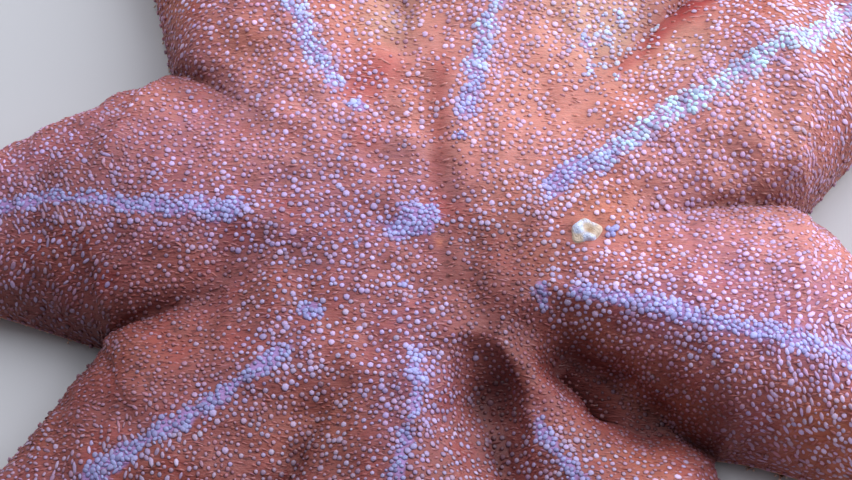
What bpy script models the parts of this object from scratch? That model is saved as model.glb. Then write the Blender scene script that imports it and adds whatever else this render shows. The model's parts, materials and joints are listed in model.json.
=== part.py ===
"""A life-size sun star (a starfish with eight rays), at rest on its underside.

The body is one form, parted by thin cuts into a central disc and eight rays. The sieve plate,
the ring of jaws round the mouth and the eyespot at each ray's tip are pieces of their own.
Lengths are in metres and angles in degrees. +Z is up, and the origin is on the floor under
the middle of the disc. Azimuths are measured from +X towards +Y.
"""

import math
from dataclasses import dataclass

import bmesh
import bpy
import numpy as np

MM = 0.001

# The body
DISC_HEIGHT = 14.5 * MM
RAY_BASE_HALF_WIDTH = 13.6 * MM
RAY_TIP_HALF_WIDTH = 2.9 * MM
RAY_TIP_HEIGHT = 3.7 * MM
NOTCH_HEIGHT = 1.0 * MM
LEVEL_MIDDLE = 0.22  # how far out the disc's level middle goes, as a share of the way to the notches
TIP_ROUNDING = 0.045  # the share of a ray's free length that its rounded end takes
MARGIN_SHARE = 0.22  # the height of a ray's widest line, as a share of its crest
MARGIN_INSET = 0.17  # how far the flat underside stops short of that line, as a share
WIDTH_TAPER = 1.35  # above 1, a ray narrows most near its base
CREST_TAPER = 1.2  # above 1, a ray's crest sinks most near its base
FLANK_FULLNESS = 0.88  # below 1, a ray's flanks are fuller than a half ellipse
CORE_SHARE = 0.45  # the height that a ray's rounded end closes round, as a share of its crest
FLARE_LENGTH = 0.36  # how far out its base flares, as a share of a ray's free length
FLARE_POWER = 1.5
NOTCH_WALL = 12  # the higher, the steeper a cleft's floor falls at its notch
ROUND_FROM = 0.45  # where the disc's rows start to be spaced as on a round flank

# The furrow under each ray
FURROW_HALF_WIDTH = 1.9 * MM
FURROW_TIP_HALF_WIDTH = 1.0 * MM
FURROW_DEPTH = 2.6 * MM
FURROW_TIP_DEPTH = 1.0 * MM
CROWDED = 0.75  # the most of a sector that a furrow takes near the mouth

# The cuts between the pieces
GAP = 0.3 * MM
CUT_AT = 0.93  # where a ray is cut off, as a share of the way out to the notches

# The small pieces
SIEVE_AZIMUTH = 5.0
SIEVE_DISTANCE = 17.0 * MM
SIEVE_RADIUS = 1.8 * MM
SIEVE_SUNK = 1.4 * MM
SIEVE_PROUD = 0.5 * MM
MOUTH_RADIUS = 7.0 * MM
MOUTH_DEPTH = 3.0 * MM
MOUTH_OPENING = 3.4 * MM
INNER_RADIUS = 4.5 * MM  # a flat closed by the mouth's hollow
JAW_REACH = 1.3 * MM
JAW_CLEARANCE = 0.9 * MM  # how high the jaws stay above the floor
EYE_RADIUS = 1.1 * MM
EYE_HEIGHT = 1.8 * MM

# How finely the solids are divided
TOP_HALF = 6  # points from a ray's crest to its margin
LINE_SAMPLES = 240


@dataclass(frozen=True)
class Ray:
    """One ray: where it leaves the disc, where its tip lies and points, and its girth."""

    name: str
    base_azimuth: float
    tip_azimuth: float
    tip_heading: float
    length: float
    crest: float
    plump: float
    sag: float = 0.0  # how far its crest dips on the way out from the disc's middle


@dataclass(frozen=True)
class Cleft:
    """The angle between two rays: its notch, and the furrow that runs up from it."""

    azimuth: float
    reach: float
    start: float
    drop: float
    twist: float = 0.0  # how far the furrow has turned by the disc's middle
    onset: float = 1.0  # below 1, the furrow falls away sooner

    def sinking(self, reach):
        """How much of its drop the furrow has made there, from 0 to 1."""
        return smooth(max(0.0, (reach - self.start) / (1 - self.start)) ** self.onset)


RAYS = (
    Ray("ray_1", 30.5, 37.5, 54.0, 103 * MM, 17.0 * MM, 1.08),
    Ray("ray_2", 81.0, 70.5, 60.0, 107 * MM, 16.5 * MM, 1.08),
    Ray("ray_3", 121.0, 122.5, 132.0, 103 * MM, 15.5 * MM, 1.04),
    Ray("ray_4", 168.0, 177.5, 186.0, 104 * MM, 14.5 * MM, 0.96),
    Ray("ray_5", 219.0, 211.5, 199.0, 103 * MM, 15.0 * MM, 1.00),
    Ray("ray_6", 260.0, 264.0, 272.0, 102 * MM, 15.0 * MM, 0.98),
    Ray("ray_7", 300.0, 303.0, 314.0, 99 * MM, 11.0 * MM, 0.90, 2.0 * MM),
    Ray("ray_8", 340.0, 345.5, 355.0, 106 * MM, 17.0 * MM, 1.14),
)

# Cleft k lies between ray k and the next one round.
CLEFTS = (
    Cleft(49.0, 57.0 * MM, 0.45, 4.5 * MM),
    Cleft(97.5, 47.0 * MM, 0.45, 3.0 * MM),
    Cleft(140.5, 44.5 * MM, 0.50, 4.5 * MM),
    Cleft(192.0, 41.0 * MM, 0.45, 5.5 * MM),
    Cleft(239.5, 41.0 * MM, 0.36, 6.0 * MM, -4.0),
    Cleft(286.0, 40.0 * MM, 0.31, 9.5 * MM, 0.0, 0.45),
    Cleft(325.0, 39.5 * MM, 0.31, 11.0 * MM, -10.0, 0.45),
    Cleft(11.0, 46.0 * MM, 0.32, 5.5 * MM),
)


def smooth(share):
    """0 to 1 with a soft start and end."""
    share = np.clip(share, 0, 1)
    return share * share * (3 - 2 * share)


def flare(free):
    """How much of the flare at a ray's base is left this far out, from 1 to 0."""
    return (1 - smooth(free / FLARE_LENGTH)) ** FLARE_POWER


def heading(azimuth):
    """The flat unit vector at an azimuth."""
    return np.array([math.cos(math.radians(azimuth)), math.sin(math.radians(azimuth))])


class RayShape:
    """The surface of one ray and of its sector of the disc.

    Two numbers place a row across it. reach runs from 0 at the disc's middle to 1 at the
    notches, and then to 2 at the tip. side runs from -1 at one margin, over the crest at 0,
    to 1 at the other.
    """

    def __init__(self, index):
        self.ray = RAYS[index]
        self.clefts = {1: CLEFTS[index], -1: CLEFTS[index - 1]}
        ray = self.ray
        third = ray.length / 3
        tip = ray.length * heading(ray.tip_azimuth)
        leaving = third * heading(ray.base_azimuth)
        arriving = tip - third * heading(ray.tip_heading)
        t = np.linspace(0, 1, LINE_SAMPLES)[:, None]
        self.line = 3 * (1 - t) ** 2 * t * leaving + 3 * (1 - t) * t**2 * arriving + t**3 * tip
        steps = np.linalg.norm(np.diff(self.line, axis=0), axis=1)
        self.along = np.concatenate([[0], np.cumsum(steps)])
        self.length = self.along[-1]
        self.base = 0.49 * (self.clefts[1].reach + self.clefts[-1].reach)

    def on_line(self, distance):
        """The point of the ray's middle line this far from the disc's middle."""
        return np.array([np.interp(distance, self.along, axis) for axis in self.line.T])

    def tangent(self, distance):
        """The way the ray's middle line runs there."""
        step = 0.5 * MM
        run = self.on_line(distance + step) - self.on_line(max(distance - step, 0))
        return run / np.linalg.norm(run)

    def sector(self, side, reach):
        """(azimuth in radians, radius) of a point of the disc's part."""
        cleft = self.clefts[1 if side >= 0 else -1]
        crest = self.on_line(self.base * reach)
        azimuth = math.atan2(crest[1], crest[0])
        turn = math.radians(cleft.azimuth + cleft.twist * (1 - min(reach, 1))) - azimuth
        turn = (turn + math.pi) % (2 * math.pi) - math.pi
        radius = np.linalg.norm(crest)
        share = abs(side)
        return azimuth + turn * share, radius + (cleft.reach * reach - radius) * share

    def disc_point(self, side, reach, height):
        """A point of the disc's part at this height."""
        azimuth, radius = self.sector(side, reach)
        return np.array([radius * math.cos(azimuth), radius * math.sin(azimuth), height])

    def half_arc(self, sign, reach):
        """The distance round the disc from this ray's crest to its cleft."""
        edge, radius = self.sector(sign, reach)
        middle, _ = self.sector(0, reach)
        return abs(edge - middle) * radius

    def widest(self, sign, reach):
        """The side value of the ray's own edge, which stops short of the cut down a cleft."""
        return 1 - GAP / 2 / self.half_arc(sign, min(reach, 1)) if reach > CUT_AT else 1.0

    def valley(self, sign, reach):
        """The height of the cleft's furrow, which falls away at the notch."""
        cleft = self.clefts[sign]
        sunk = cleft.drop * cleft.sinking(reach)
        wall = math.sqrt(max(0.0, 1 - min(reach, 1) ** NOTCH_WALL))
        return NOTCH_HEIGHT + (DISC_HEIGHT - NOTCH_HEIGHT - sunk) * wall

    def disc_top(self, side, reach):
        """A point on the upper surface of the disc's part."""
        sign = 1 if side >= 0 else -1
        out = max(0.0, (reach - LEVEL_MIDDLE) / (1 - LEVEL_MIDDLE))
        crest = DISC_HEIGHT + (self.ray.crest - DISC_HEIGHT) * smooth(out)
        crest -= self.ray.sag * math.sin(math.pi * out) ** 2
        low = self.valley(sign, reach)
        swell = math.cos(math.pi / 2 * side) ** 2
        round_flank = math.sqrt(max(0.0, 1 - side * side))
        start = self.clefts[sign].start
        creased = smooth((reach - start) / (1 - start))
        rise = swell + (round_flank - swell) * creased
        return self.disc_point(side, reach, low + (crest - low) * rise)

    def girth(self, free):
        """(half-width, crest height, shrink of the rounded tip) along the free ray."""
        width = RAY_BASE_HALF_WIDTH * self.ray.plump - RAY_TIP_HALF_WIDTH
        height = self.ray.crest - RAY_TIP_HEIGHT
        past = max(0.0, (free - 1 + TIP_ROUNDING) / TIP_ROUNDING)
        return (
            RAY_TIP_HALF_WIDTH + width * (1 - free) ** WIDTH_TAPER,
            RAY_TIP_HEIGHT + height * (1 - free) ** CREST_TAPER,
            math.sqrt(max(0.0, 1 - past * past)),
        )

    def placed(self, free, across, height, shrink, middle_height):
        """A point of a free ray's section, drawn in towards its middle at the tip."""
        distance = self.base + (self.length - self.base) * free
        line, tangent = self.on_line(distance), self.tangent(distance)
        flat = line + np.array([-tangent[1], tangent[0]]) * across * shrink
        return np.array([*flat, middle_height + (height - middle_height) * shrink])

    def free_top(self, side, free):
        """A point on the upper surface of the free ray, before it is joined to the disc."""
        half, crest, shrink = self.girth(free)
        margin = MARGIN_SHARE * crest
        angle = math.pi / 2 * side
        height = margin + (crest - margin) * max(0.0, math.cos(angle)) ** FLANK_FULLNESS
        return self.placed(free, half * math.sin(angle), height, shrink, CORE_SHARE * crest)

    def top(self, side, reach):
        """A point on the upper surface, from the disc's middle to the ray's tip."""
        if reach <= 1:
            return self.disc_top(side, reach)
        free = reach - 1
        # The mismatch at the notch row fades out along the ray, which flares the base.
        joint = self.disc_top(side, 1.0) - self.free_top(side, 0.0)
        return self.free_top(side, free) + joint * flare(free)

    def furrow(self, reach):
        """(half-width, depth) of the furrow in the underside."""
        share = min(reach / 2, 1) ** 1.5
        return (
            FURROW_HALF_WIDTH + (FURROW_TIP_HALF_WIDTH - FURROW_HALF_WIDTH) * share,
            FURROW_DEPTH + (FURROW_TIP_DEPTH - FURROW_DEPTH) * share,
        )

    def underside(self, sign, reach):
        """Points of the underside on one side, from the margin in to the middle of the furrow."""
        half, depth = self.furrow(reach)
        steps = ((half, 0.0), (0.62 * half, depth))
        if reach <= 1:
            edge = self.widest(sign, reach)
            arc = self.half_arc(sign, reach)
            flat = [(edge, 0.0), (edge * 0.9, 0.0)]
            narrowed = min(1.0, CROWDED * arc / half)
            flat += [(across * narrowed / arc, height) for across, height in steps]
            flat.append((0.0, depth))
            return [self.disc_point(sign * side, reach, height) for side, height in flat]
        free = reach - 1
        width, crest, shrink = self.girth(free)
        fade = flare(free)
        margin = self.top(sign * self.widest(sign, reach), reach)
        middle = CORE_SHARE * crest
        centre = self.placed(free, 0.0, 0.0, shrink, middle)
        spread = margin[:2] - centre[:2]
        inset = MARGIN_INSET * (1 - fade)
        rows = [
            (1 - inset * 0.3, margin[2] * 0.35 * (1 - fade)),
            (1 - inset - 0.1 * fade, 0.0),
            *((across * shrink / np.linalg.norm(spread), height) for across, height in steps),
            (0.0, depth),
        ]
        return [
            np.array([*(centre[:2] + spread * share), middle + (height - middle) * shrink])
            for share, height in rows
        ]


def side_steps(reach):
    """Side values from the crest out to a margin: even on the disc, by angle on a round flank."""
    steps = np.arange(TOP_HALF + 1) / TOP_HALF
    by_angle = np.sin(math.pi / 2 * steps)
    if reach > 1:
        return by_angle
    return steps + (by_angle - steps) * smooth((reach - ROUND_FROM) / (1 - ROUND_FROM))


def top_row(shape, reach):
    """The upper surface's points across a ray, from its left margin to its right one."""
    steps = side_steps(min(reach, 1))
    if reach > 1:
        # A free ray's flank is already measured by angle, so its side values come back even.
        blend = smooth((reach - 1) / FLARE_LENGTH)
        steps = steps + (np.arange(TOP_HALF + 1) / TOP_HALF - steps) * blend
    left = [shape.top(step * shape.widest(1, reach), reach) for step in steps]
    right = [shape.top(-step * shape.widest(-1, reach), reach) for step in steps]
    return left[::-1] + right[1:]


def under_row(shape, reach):
    """The underside's points across a ray, from its left margin to its right one."""
    left = shape.underside(1, reach)
    right = shape.underside(-1, reach)
    return left + right[-2::-1]


def add_points(mesh, points):
    """New vertices at these points."""
    return [mesh.verts.new(tuple(point)) for point in points]


def bridge(mesh, first, second, closed):
    """Faces between two rows with as many points each."""
    count = len(first) if closed else len(first) - 1
    for k in range(count):
        after = (k + 1) % len(first)
        mesh.faces.new((first[k], first[after], second[after], second[k]))


def zip_rows(mesh, upper, lower):
    """Triangles between two rows that run the same way with unlike numbers of points."""
    i = j = 0
    while i < len(upper) - 1 or j < len(lower) - 1:
        ahead = (i + 1) / (len(upper) - 1)
        behind = (j + 1) / (len(lower) - 1)
        if j == len(lower) - 1 or (i < len(upper) - 1 and ahead <= behind):
            mesh.faces.new((upper[i], upper[i + 1], lower[j]))
            i += 1
        else:
            mesh.faces.new((upper[i], lower[j + 1], lower[j]))
            j += 1


def finished(mesh, name, material, sharp_angle=50.0):
    """The mesh as a named object, its faces pointing out."""
    bmesh.ops.remove_doubles(mesh, verts=mesh.verts, dist=1e-6)
    bmesh.ops.recalc_face_normals(mesh, faces=mesh.faces)
    data = bpy.data.meshes.new(name)
    mesh.to_mesh(data)
    mesh.free()
    data.materials.append(material)
    data.shade_smooth()
    data.set_sharp_from_angle(angle=math.radians(sharp_angle))
    piece = bpy.data.objects.new(name, data)
    bpy.context.scene.collection.objects.link(piece)
    return piece


def skin_material(name, colour, roughness):
    """A plain Principled material."""
    material = bpy.data.materials.new(name)
    material.use_nodes = True
    shader = material.node_tree.nodes["Principled BSDF"]
    shader.inputs["Base Color"].default_value = (*colour, 1.0)
    shader.inputs["Roughness"].default_value = roughness
    shader.inputs["Metallic"].default_value = 0.0
    return material


def make_ray(shape, material):
    """A ray: closed loops from the cut at its base to its rounded tip."""
    start = CUT_AT + GAP / shape.base
    near = (start, 0.962, 0.985, 1.0)
    along = (0.04, 0.09, 0.15, 0.22, 0.30, 0.39, 0.48, 0.57, 0.66, 0.75, 0.84, 0.915, 0.955)
    rounded = [1 - TIP_ROUNDING * (1 - math.sin(math.radians(angle))) for angle in (30, 55, 76)]
    mesh = bmesh.new()
    loops = []
    for reach in (*near, *(1 + free for free in (*along, *rounded))):
        over = add_points(mesh, top_row(shape, reach))
        under = add_points(mesh, under_row(shape, reach))
        loops.append((over, under))
    for (over, under), (next_over, next_under) in zip(loops, loops[1:]):
        bridge(mesh, over + under[::-1], next_over + next_under[::-1], closed=True)
    zip_rows(mesh, *loops[0])
    zip_rows(mesh, *loops[-1])
    return finished(mesh, shape.ray.name, material)


def make_disc(shapes, material):
    """The central disc: rings out over the top, down the cut and back under to the mouth."""
    mesh = bmesh.new()
    top_reaches = (0.16, 0.30, 0.43, 0.55, 0.67, 0.79, 0.88, CUT_AT)
    under_reaches = (CUT_AT, 0.55, 0.166)
    rings = [
        add_points(mesh, [point for shape in shapes for point in top_row(shape, reach)[:0:-1]])
        for reach in top_reaches
    ]
    low_rings = [
        add_points(mesh, [point for shape in shapes for point in under_row(shape, reach)[:0:-1]])
        for reach in under_reaches
    ]
    for group in (rings, low_rings):
        for first, second in zip(group, group[1:]):
            bridge(mesh, first, second, closed=True)
    summit = mesh.verts.new((0, 0, DISC_HEIGHT))
    for k, point in enumerate(rings[0]):
        mesh.faces.new((point, rings[0][(k + 1) % len(rings[0])], summit))
    turns = [math.atan2(point.co.y, point.co.x) for point in low_rings[-1]]
    inner = [(INNER_RADIUS * math.cos(a), INNER_RADIUS * math.sin(a), MM) for a in turns]
    middle = add_points(mesh, inner)
    bridge(mesh, low_rings[-1], middle, closed=True)
    mesh.faces.new(middle)
    upper, lower = rings[-1], low_rings[0]
    per_top, per_low = len(upper) // len(shapes), len(lower) // len(shapes)
    for k in range(len(shapes)):
        high = [upper[(k * per_top + step) % len(upper)] for step in range(per_top + 1)]
        low = [lower[(k * per_low + step) % len(lower)] for step in range(per_low + 1)]
        # Run the way that the rays' ends do, so that both sides of the cut have the same facets.
        zip_rows(mesh, high[::-1], low[::-1])
    return finished(mesh, "central_disc", material)


def cylinder_cutter(name, radius, low, high, centre):
    """A hidden upright cylinder for a Boolean."""
    mesh = bmesh.new()
    bmesh.ops.create_cone(
        mesh, cap_ends=True, segments=24, radius1=radius, radius2=radius, depth=high - low
    )
    data = bpy.data.meshes.new(name)
    mesh.to_mesh(data)
    mesh.free()
    cutter = bpy.data.objects.new(name, data)
    cutter.location = (*centre, (low + high) / 2)
    cutter.hide_render = True
    cutter.display_type = "WIRE"
    bpy.context.scene.collection.objects.link(cutter)
    return cutter


def cut(piece, cutter):
    """Takes the cutter's shape out of the piece."""
    modifier = piece.modifiers.new(cutter.name, "BOOLEAN")
    modifier.operation = "DIFFERENCE"
    modifier.object = cutter
    modifier.solver = "EXACT"


def make_sieve_plate(disc, shape, material):
    """The sieve plate, a low domed button in a pocket of the disc."""
    centre = SIEVE_DISTANCE * heading(SIEVE_AZIMUTH)
    surface = shape.disc_top(1.0, SIEVE_DISTANCE / CLEFTS[-1].reach)[2]
    floor = surface - SIEVE_SUNK
    pocket = cylinder_cutter(
        "sieve_pocket", SIEVE_RADIUS + GAP, floor - GAP, surface + 4 * MM, centre
    )
    cut(disc, pocket)
    mesh = bmesh.new()
    segments = 20
    loops = []
    for share, height in (
        (1.0, floor),
        (1.0, surface),
        (0.86, surface + 0.7 * SIEVE_PROUD),
        (0.5, surface + SIEVE_PROUD),
    ):
        rim = [share * SIEVE_RADIUS * heading(360 * k / segments) + centre for k in range(segments)]
        loops.append(add_points(mesh, [(*point, height) for point in rim]))
    for first, second in zip(loops, loops[1:]):
        bridge(mesh, first, second, closed=True)
    mesh.faces.new(loops[0])
    mesh.faces.new(loops[-1])
    return finished(mesh, "sieve_plate", material)


def make_mouth(disc, shapes, material):
    """The mouth: a ring of jaws, one between each two furrows, in a hollow under the disc."""
    hollow = cylinder_cutter("mouth_hollow", MOUTH_RADIUS, -2 * MM, MOUTH_DEPTH, (0.0, 0.0))
    cut(disc, hollow)
    outer = MOUTH_RADIUS - GAP
    low, high = JAW_CLEARANCE, MOUTH_DEPTH - GAP
    mesh = bmesh.new()
    loops = {key: [] for key in ("out_low", "out_high", "in_low", "in_high")}
    for shape in shapes:
        furrow = math.radians(shape.ray.base_azimuth)
        jaw = math.radians(shape.clefts[1].azimuth)
        turn = (jaw - furrow) % (2 * math.pi)
        flank = MOUTH_OPENING * 0.9
        for share, inner in ((0.0, MOUTH_OPENING), (0.62, flank), (1.0, JAW_REACH), (1.38, flank)):
            along = heading(math.degrees(furrow + turn * share))
            loops["out_low"].append(mesh.verts.new((*(outer * along), low)))
            loops["out_high"].append(mesh.verts.new((*(outer * along), high)))
            loops["in_low"].append(mesh.verts.new((*(inner * along), low)))
            loops["in_high"].append(mesh.verts.new((*(inner * along), high)))
    order = ("out_low", "out_high", "in_high", "in_low", "out_low")
    for first, second in zip(order, order[1:]):
        bridge(mesh, loops[first], loops[second], closed=True)
    return finished(mesh, "mouth", material, sharp_angle=30.0)


def make_eye(shape, number, material):
    """The eyespot, a bead at the end of a ray."""
    mesh = bmesh.new()
    bmesh.ops.create_icosphere(mesh, subdivisions=2, radius=EYE_RADIUS)
    eye = finished(mesh, f"eyespot_{number}", material)
    tip = shape.on_line(shape.length)
    ahead = shape.tangent(shape.length)
    eye.location = (*(tip + ahead * (EYE_RADIUS + GAP)), EYE_HEIGHT)
    return eye


def main():
    for leftover in list(bpy.data.objects):
        bpy.data.objects.remove(leftover)
    flesh = skin_material("flesh", (0.62, 0.24, 0.19), 0.55)
    plate = skin_material("plate", (0.72, 0.66, 0.60), 0.6)
    jaws = skin_material("jaws", (0.70, 0.42, 0.32), 0.6)
    eyes = skin_material("eyes", (0.55, 0.03, 0.02), 0.35)
    shapes = [RayShape(index) for index in range(len(RAYS))]
    disc = make_disc(shapes, flesh)
    for number, shape in enumerate(shapes, start=1):
        make_ray(shape, flesh)
        make_eye(shape, number, eyes)
    make_sieve_plate(disc, shapes[-1], plate)
    make_mouth(disc, shapes, jaws)


main()
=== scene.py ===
"""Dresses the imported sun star: its skin, its coat of spinelet tufts, and the small organs.

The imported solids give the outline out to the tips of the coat. One skin lies inside them by
the coat's depth, and every tuft is rooted in it. Lengths are in metres and angles in degrees
unless a name or a comment says otherwise. +Z is up, and the origin is on the floor under the
middle of the disc.
"""

import json
import logging
import math
from dataclasses import dataclass, field, fields, replace
from enum import Enum
from typing import Any, Sequence

import bpy
import numpy as np
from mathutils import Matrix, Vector

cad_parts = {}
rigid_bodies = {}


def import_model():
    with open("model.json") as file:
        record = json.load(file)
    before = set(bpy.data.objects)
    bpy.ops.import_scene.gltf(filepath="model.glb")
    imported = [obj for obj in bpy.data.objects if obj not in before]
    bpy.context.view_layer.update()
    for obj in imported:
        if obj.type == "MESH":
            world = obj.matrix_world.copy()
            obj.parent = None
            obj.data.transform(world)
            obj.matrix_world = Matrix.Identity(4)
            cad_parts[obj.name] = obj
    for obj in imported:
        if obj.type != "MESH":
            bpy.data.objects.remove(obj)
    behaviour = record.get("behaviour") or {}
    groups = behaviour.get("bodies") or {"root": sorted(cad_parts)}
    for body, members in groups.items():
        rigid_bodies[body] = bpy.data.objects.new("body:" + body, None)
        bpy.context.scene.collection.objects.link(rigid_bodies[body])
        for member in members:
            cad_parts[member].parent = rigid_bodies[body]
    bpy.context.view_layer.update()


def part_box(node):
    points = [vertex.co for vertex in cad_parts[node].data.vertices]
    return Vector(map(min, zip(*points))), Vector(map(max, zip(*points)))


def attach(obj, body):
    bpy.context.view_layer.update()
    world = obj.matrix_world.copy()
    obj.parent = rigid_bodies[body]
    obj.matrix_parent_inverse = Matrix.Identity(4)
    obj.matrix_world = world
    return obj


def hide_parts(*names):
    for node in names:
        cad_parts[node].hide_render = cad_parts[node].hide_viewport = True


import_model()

LOG = logging.getLogger("sun_star")

MM = 0.001
FULL_TURN = 2 * math.pi
ABOUT_A_TURN = 6.28  # radians, where a small part is spun at random
Array = np.ndarray
Material = bpy.types.Material
Triple = tuple[float, float, float]
Colour = Triple
joined = np.concatenate

# The solids' own sizes and curves, which the skin repeats
DISC_HEIGHT = 14.5 * MM
RAY_BASE_HALF_WIDTH = 13.6 * MM
RAY_TIP_HALF_WIDTH = 2.9 * MM
RAY_TIP_HEIGHT = 3.7 * MM
NOTCH_HEIGHT = 1.0 * MM
NOTCH_WALL = 12  # the higher, the steeper the back falls to a notch
BASE_SHARE = 0.49  # where the free ray starts, as a share of its two notches' reaches added
LEVEL_MIDDLE = 0.22
WIDTH_TAPER = 1.35
CREST_TAPER = 1.2
FLANK_FULLNESS = 0.88
CORE_SHARE = 0.45  # how high the middle of a section is, as a share of its crest
TIP_ROUNDING = 0.045
MARGIN_SHARE = 0.22
FLARE_LENGTH = 0.36  # how far along a free ray its flared base goes
FLARE_POWER = 1.5
CURLED = 0.14  # the share of the underside that turns up to the margin
MARGIN_INSET = 0.17
BASE_INSET = 0.06
FURROW_HALF_WIDTH = 1.9 * MM
FURROW_TIP_HALF_WIDTH = 1.0 * MM
FURROW_DEPTH = 2.6 * MM
FURROW_TIP_DEPTH = 1.0 * MM
FURROW_FLAT = 0.35  # the share of a furrow's half-width that is at full depth
CROWDED = 0.75
LINE_SAMPLES = 240

COAT_DEPTH = 0.52 * MM

# The unwrap: a strip for each ray's back, and below it one for its underside
UNWRAP_ACROSS = 2.35  # map widths to a metre across a ray
UNWRAP_ALONG = 4.0  # map heights to a metre along it
UNWRAP_FLAT = 3.4  # map widths to a metre where a piece is unwrapped from above
TOP_STRIP = 0.53
BOTTOM_STRIP = 0.03
TUFT_PATCH = 0.003  # how wide a tuft's patch of the unwrap is

FLOOR_GAP = 0.03 * MM  # what rests on the floor is flattened just above it


class Slot(Enum):
    """The record's material slots."""

    FLESH = "flesh"
    PLATE = "plate"
    JAWS = "jaws"
    EYES = "eyes"


def clamp(values: Any) -> Any:
    """The values, held between 0 and 1."""
    return np.clip(values, 0, 1)


def smooth(share: Any) -> Any:
    """0 to 1 with a soft start and end."""
    share = clamp(share)
    return share * share * (3 - 2 * share)


def rise(values: Any, start: float, width: float) -> Any:
    """0 up to the start, 1 from a width beyond it, and soft between them."""
    return smooth((values - start) / width)


def faded(away: Array, radius: float) -> Array:
    """1 where nothing is away, about a third at one radius, and hardly any at two."""
    return np.exp(-((away / radius) ** 2))


def heading(azimuth: float) -> Array:
    """The flat unit vector at an azimuth."""
    return np.array([math.cos(math.radians(azimuth)), math.sin(math.radians(azimuth))])


def spot(azimuth: float, distance_mm: float) -> Array:
    """The flat point at an azimuth and a distance in millimetres from the disc's middle."""
    return distance_mm * MM * heading(azimuth)


def polar(turn: Array, radius: Any, *height: Any) -> Array:
    """Points at a turn in radians and a radius, flat unless a height is given."""
    return np.stack([radius * np.cos(turn), radius * np.sin(turn), *height], axis=-1)


def unit(vectors: Array) -> Array:
    """Vectors brought to length one along the last axis."""
    return vectors / np.maximum(np.linalg.norm(vectors, axis=-1, keepdims=True), 1e-12)


def ringed(grid: Array) -> Array:
    """A grid that goes all the way round, with its first column again at its end."""
    return joined([grid, grid[:, :1]], axis=1)


def quads(grid: Array, upward: bool) -> Array:
    """What is kept at a grid's points, at the corners of the triangles that fill the grid."""
    a, b, c, d = grid[:-1, :-1], grid[:-1, 1:], grid[1:, 1:], grid[1:, :-1]
    pairs = ((a, c, b), (a, d, c)) if upward else ((a, b, c), (a, c, d))
    corners = [np.stack(pair, axis=2).reshape(-1, 3, *grid.shape[2:]) for pair in pairs]
    return joined(corners)


def fan(ring: Array, point: Any, turned: bool) -> Array:
    """What is kept at a row and a point, or else the row's mean, at their fan's corners."""
    middle = np.broadcast_to(ring.mean(axis=0) if point is None else point, ring[1:].shape)
    corners = (ring[1:], ring[:-1], middle) if turned else (ring[:-1], ring[1:], middle)
    return np.stack(corners, axis=1)


def normals_of(points: Array, faces: Array) -> Array:
    """The points' normals, from the triangles round each."""
    a, b, c = (points[faces[:, corner]] for corner in range(3))
    total = np.zeros_like(points)
    for corner in range(3):
        np.add.at(total, faces[:, corner], np.cross(b - a, c - a))
    return unit(total)


@dataclass(frozen=True)
class Ray:
    """One ray: its course and girth, and how its stripe and its tufts' tips look."""

    name: str
    base_azimuth: float
    tip_azimuth: float
    tip_heading: float
    length: float
    crest: float
    plump: float
    sag: float = 0.0
    stripe_from: float = 20 * MM
    paleness: float = 0.8
    ice: float = 0.0


@dataclass(frozen=True)
class Cleft:
    """The angle between two rays: its notch, and the furrow that runs up from it."""

    azimuth: float
    reach: float
    start: float
    drop: float
    twist: float = 0.0
    onset: float = 1.0


RAYS = (
    Ray("ray_1", 30.5, 37.5, 54, 103 * MM, 17 * MM, 1.08, 0, 14 * MM, 0.95, 0.9),
    Ray("ray_2", 81, 70.5, 60, 107 * MM, 16.5 * MM, 1.08, 0, 17 * MM, 0.80, 0.5),
    Ray("ray_3", 121, 122.5, 132, 103 * MM, 15.5 * MM, 1.04, 0, 24 * MM, 0.55, 0.25),
    Ray("ray_4", 168, 177.5, 186, 104 * MM, 14.5 * MM, 0.96, 0, 23 * MM, 0.45),
    Ray("ray_5", 219, 211.5, 199, 103 * MM, 15 * MM, 1.00, 0, 21 * MM, 0.55),
    Ray("ray_6", 260, 264, 272, 102 * MM, 15 * MM, 0.98, 0, 15 * MM, 0.80),
    Ray("ray_7", 300, 303, 314, 99 * MM, 11 * MM, 0.90, 2 * MM, 23 * MM, 0.75),
    Ray("ray_8", 340, 345.5, 355, 106 * MM, 17 * MM, 1.14, 0, 16 * MM, 0.85),
)

# Cleft k lies between ray k and the next one round
CLEFTS = (
    Cleft(49, 57 * MM, 0.45, 4.5 * MM),
    Cleft(97.5, 47 * MM, 0.45, 3 * MM),
    Cleft(140.5, 44.5 * MM, 0.50, 4.5 * MM),
    Cleft(192, 41 * MM, 0.45, 5.5 * MM),
    Cleft(239.5, 41 * MM, 0.36, 6 * MM, -4),
    Cleft(286, 40 * MM, 0.31, 9.5 * MM, 0, 0.45),
    Cleft(325, 39.5 * MM, 0.31, 11 * MM, -10, 0.45),
    Cleft(11, 46 * MM, 0.32, 5.5 * MM),
)


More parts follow.
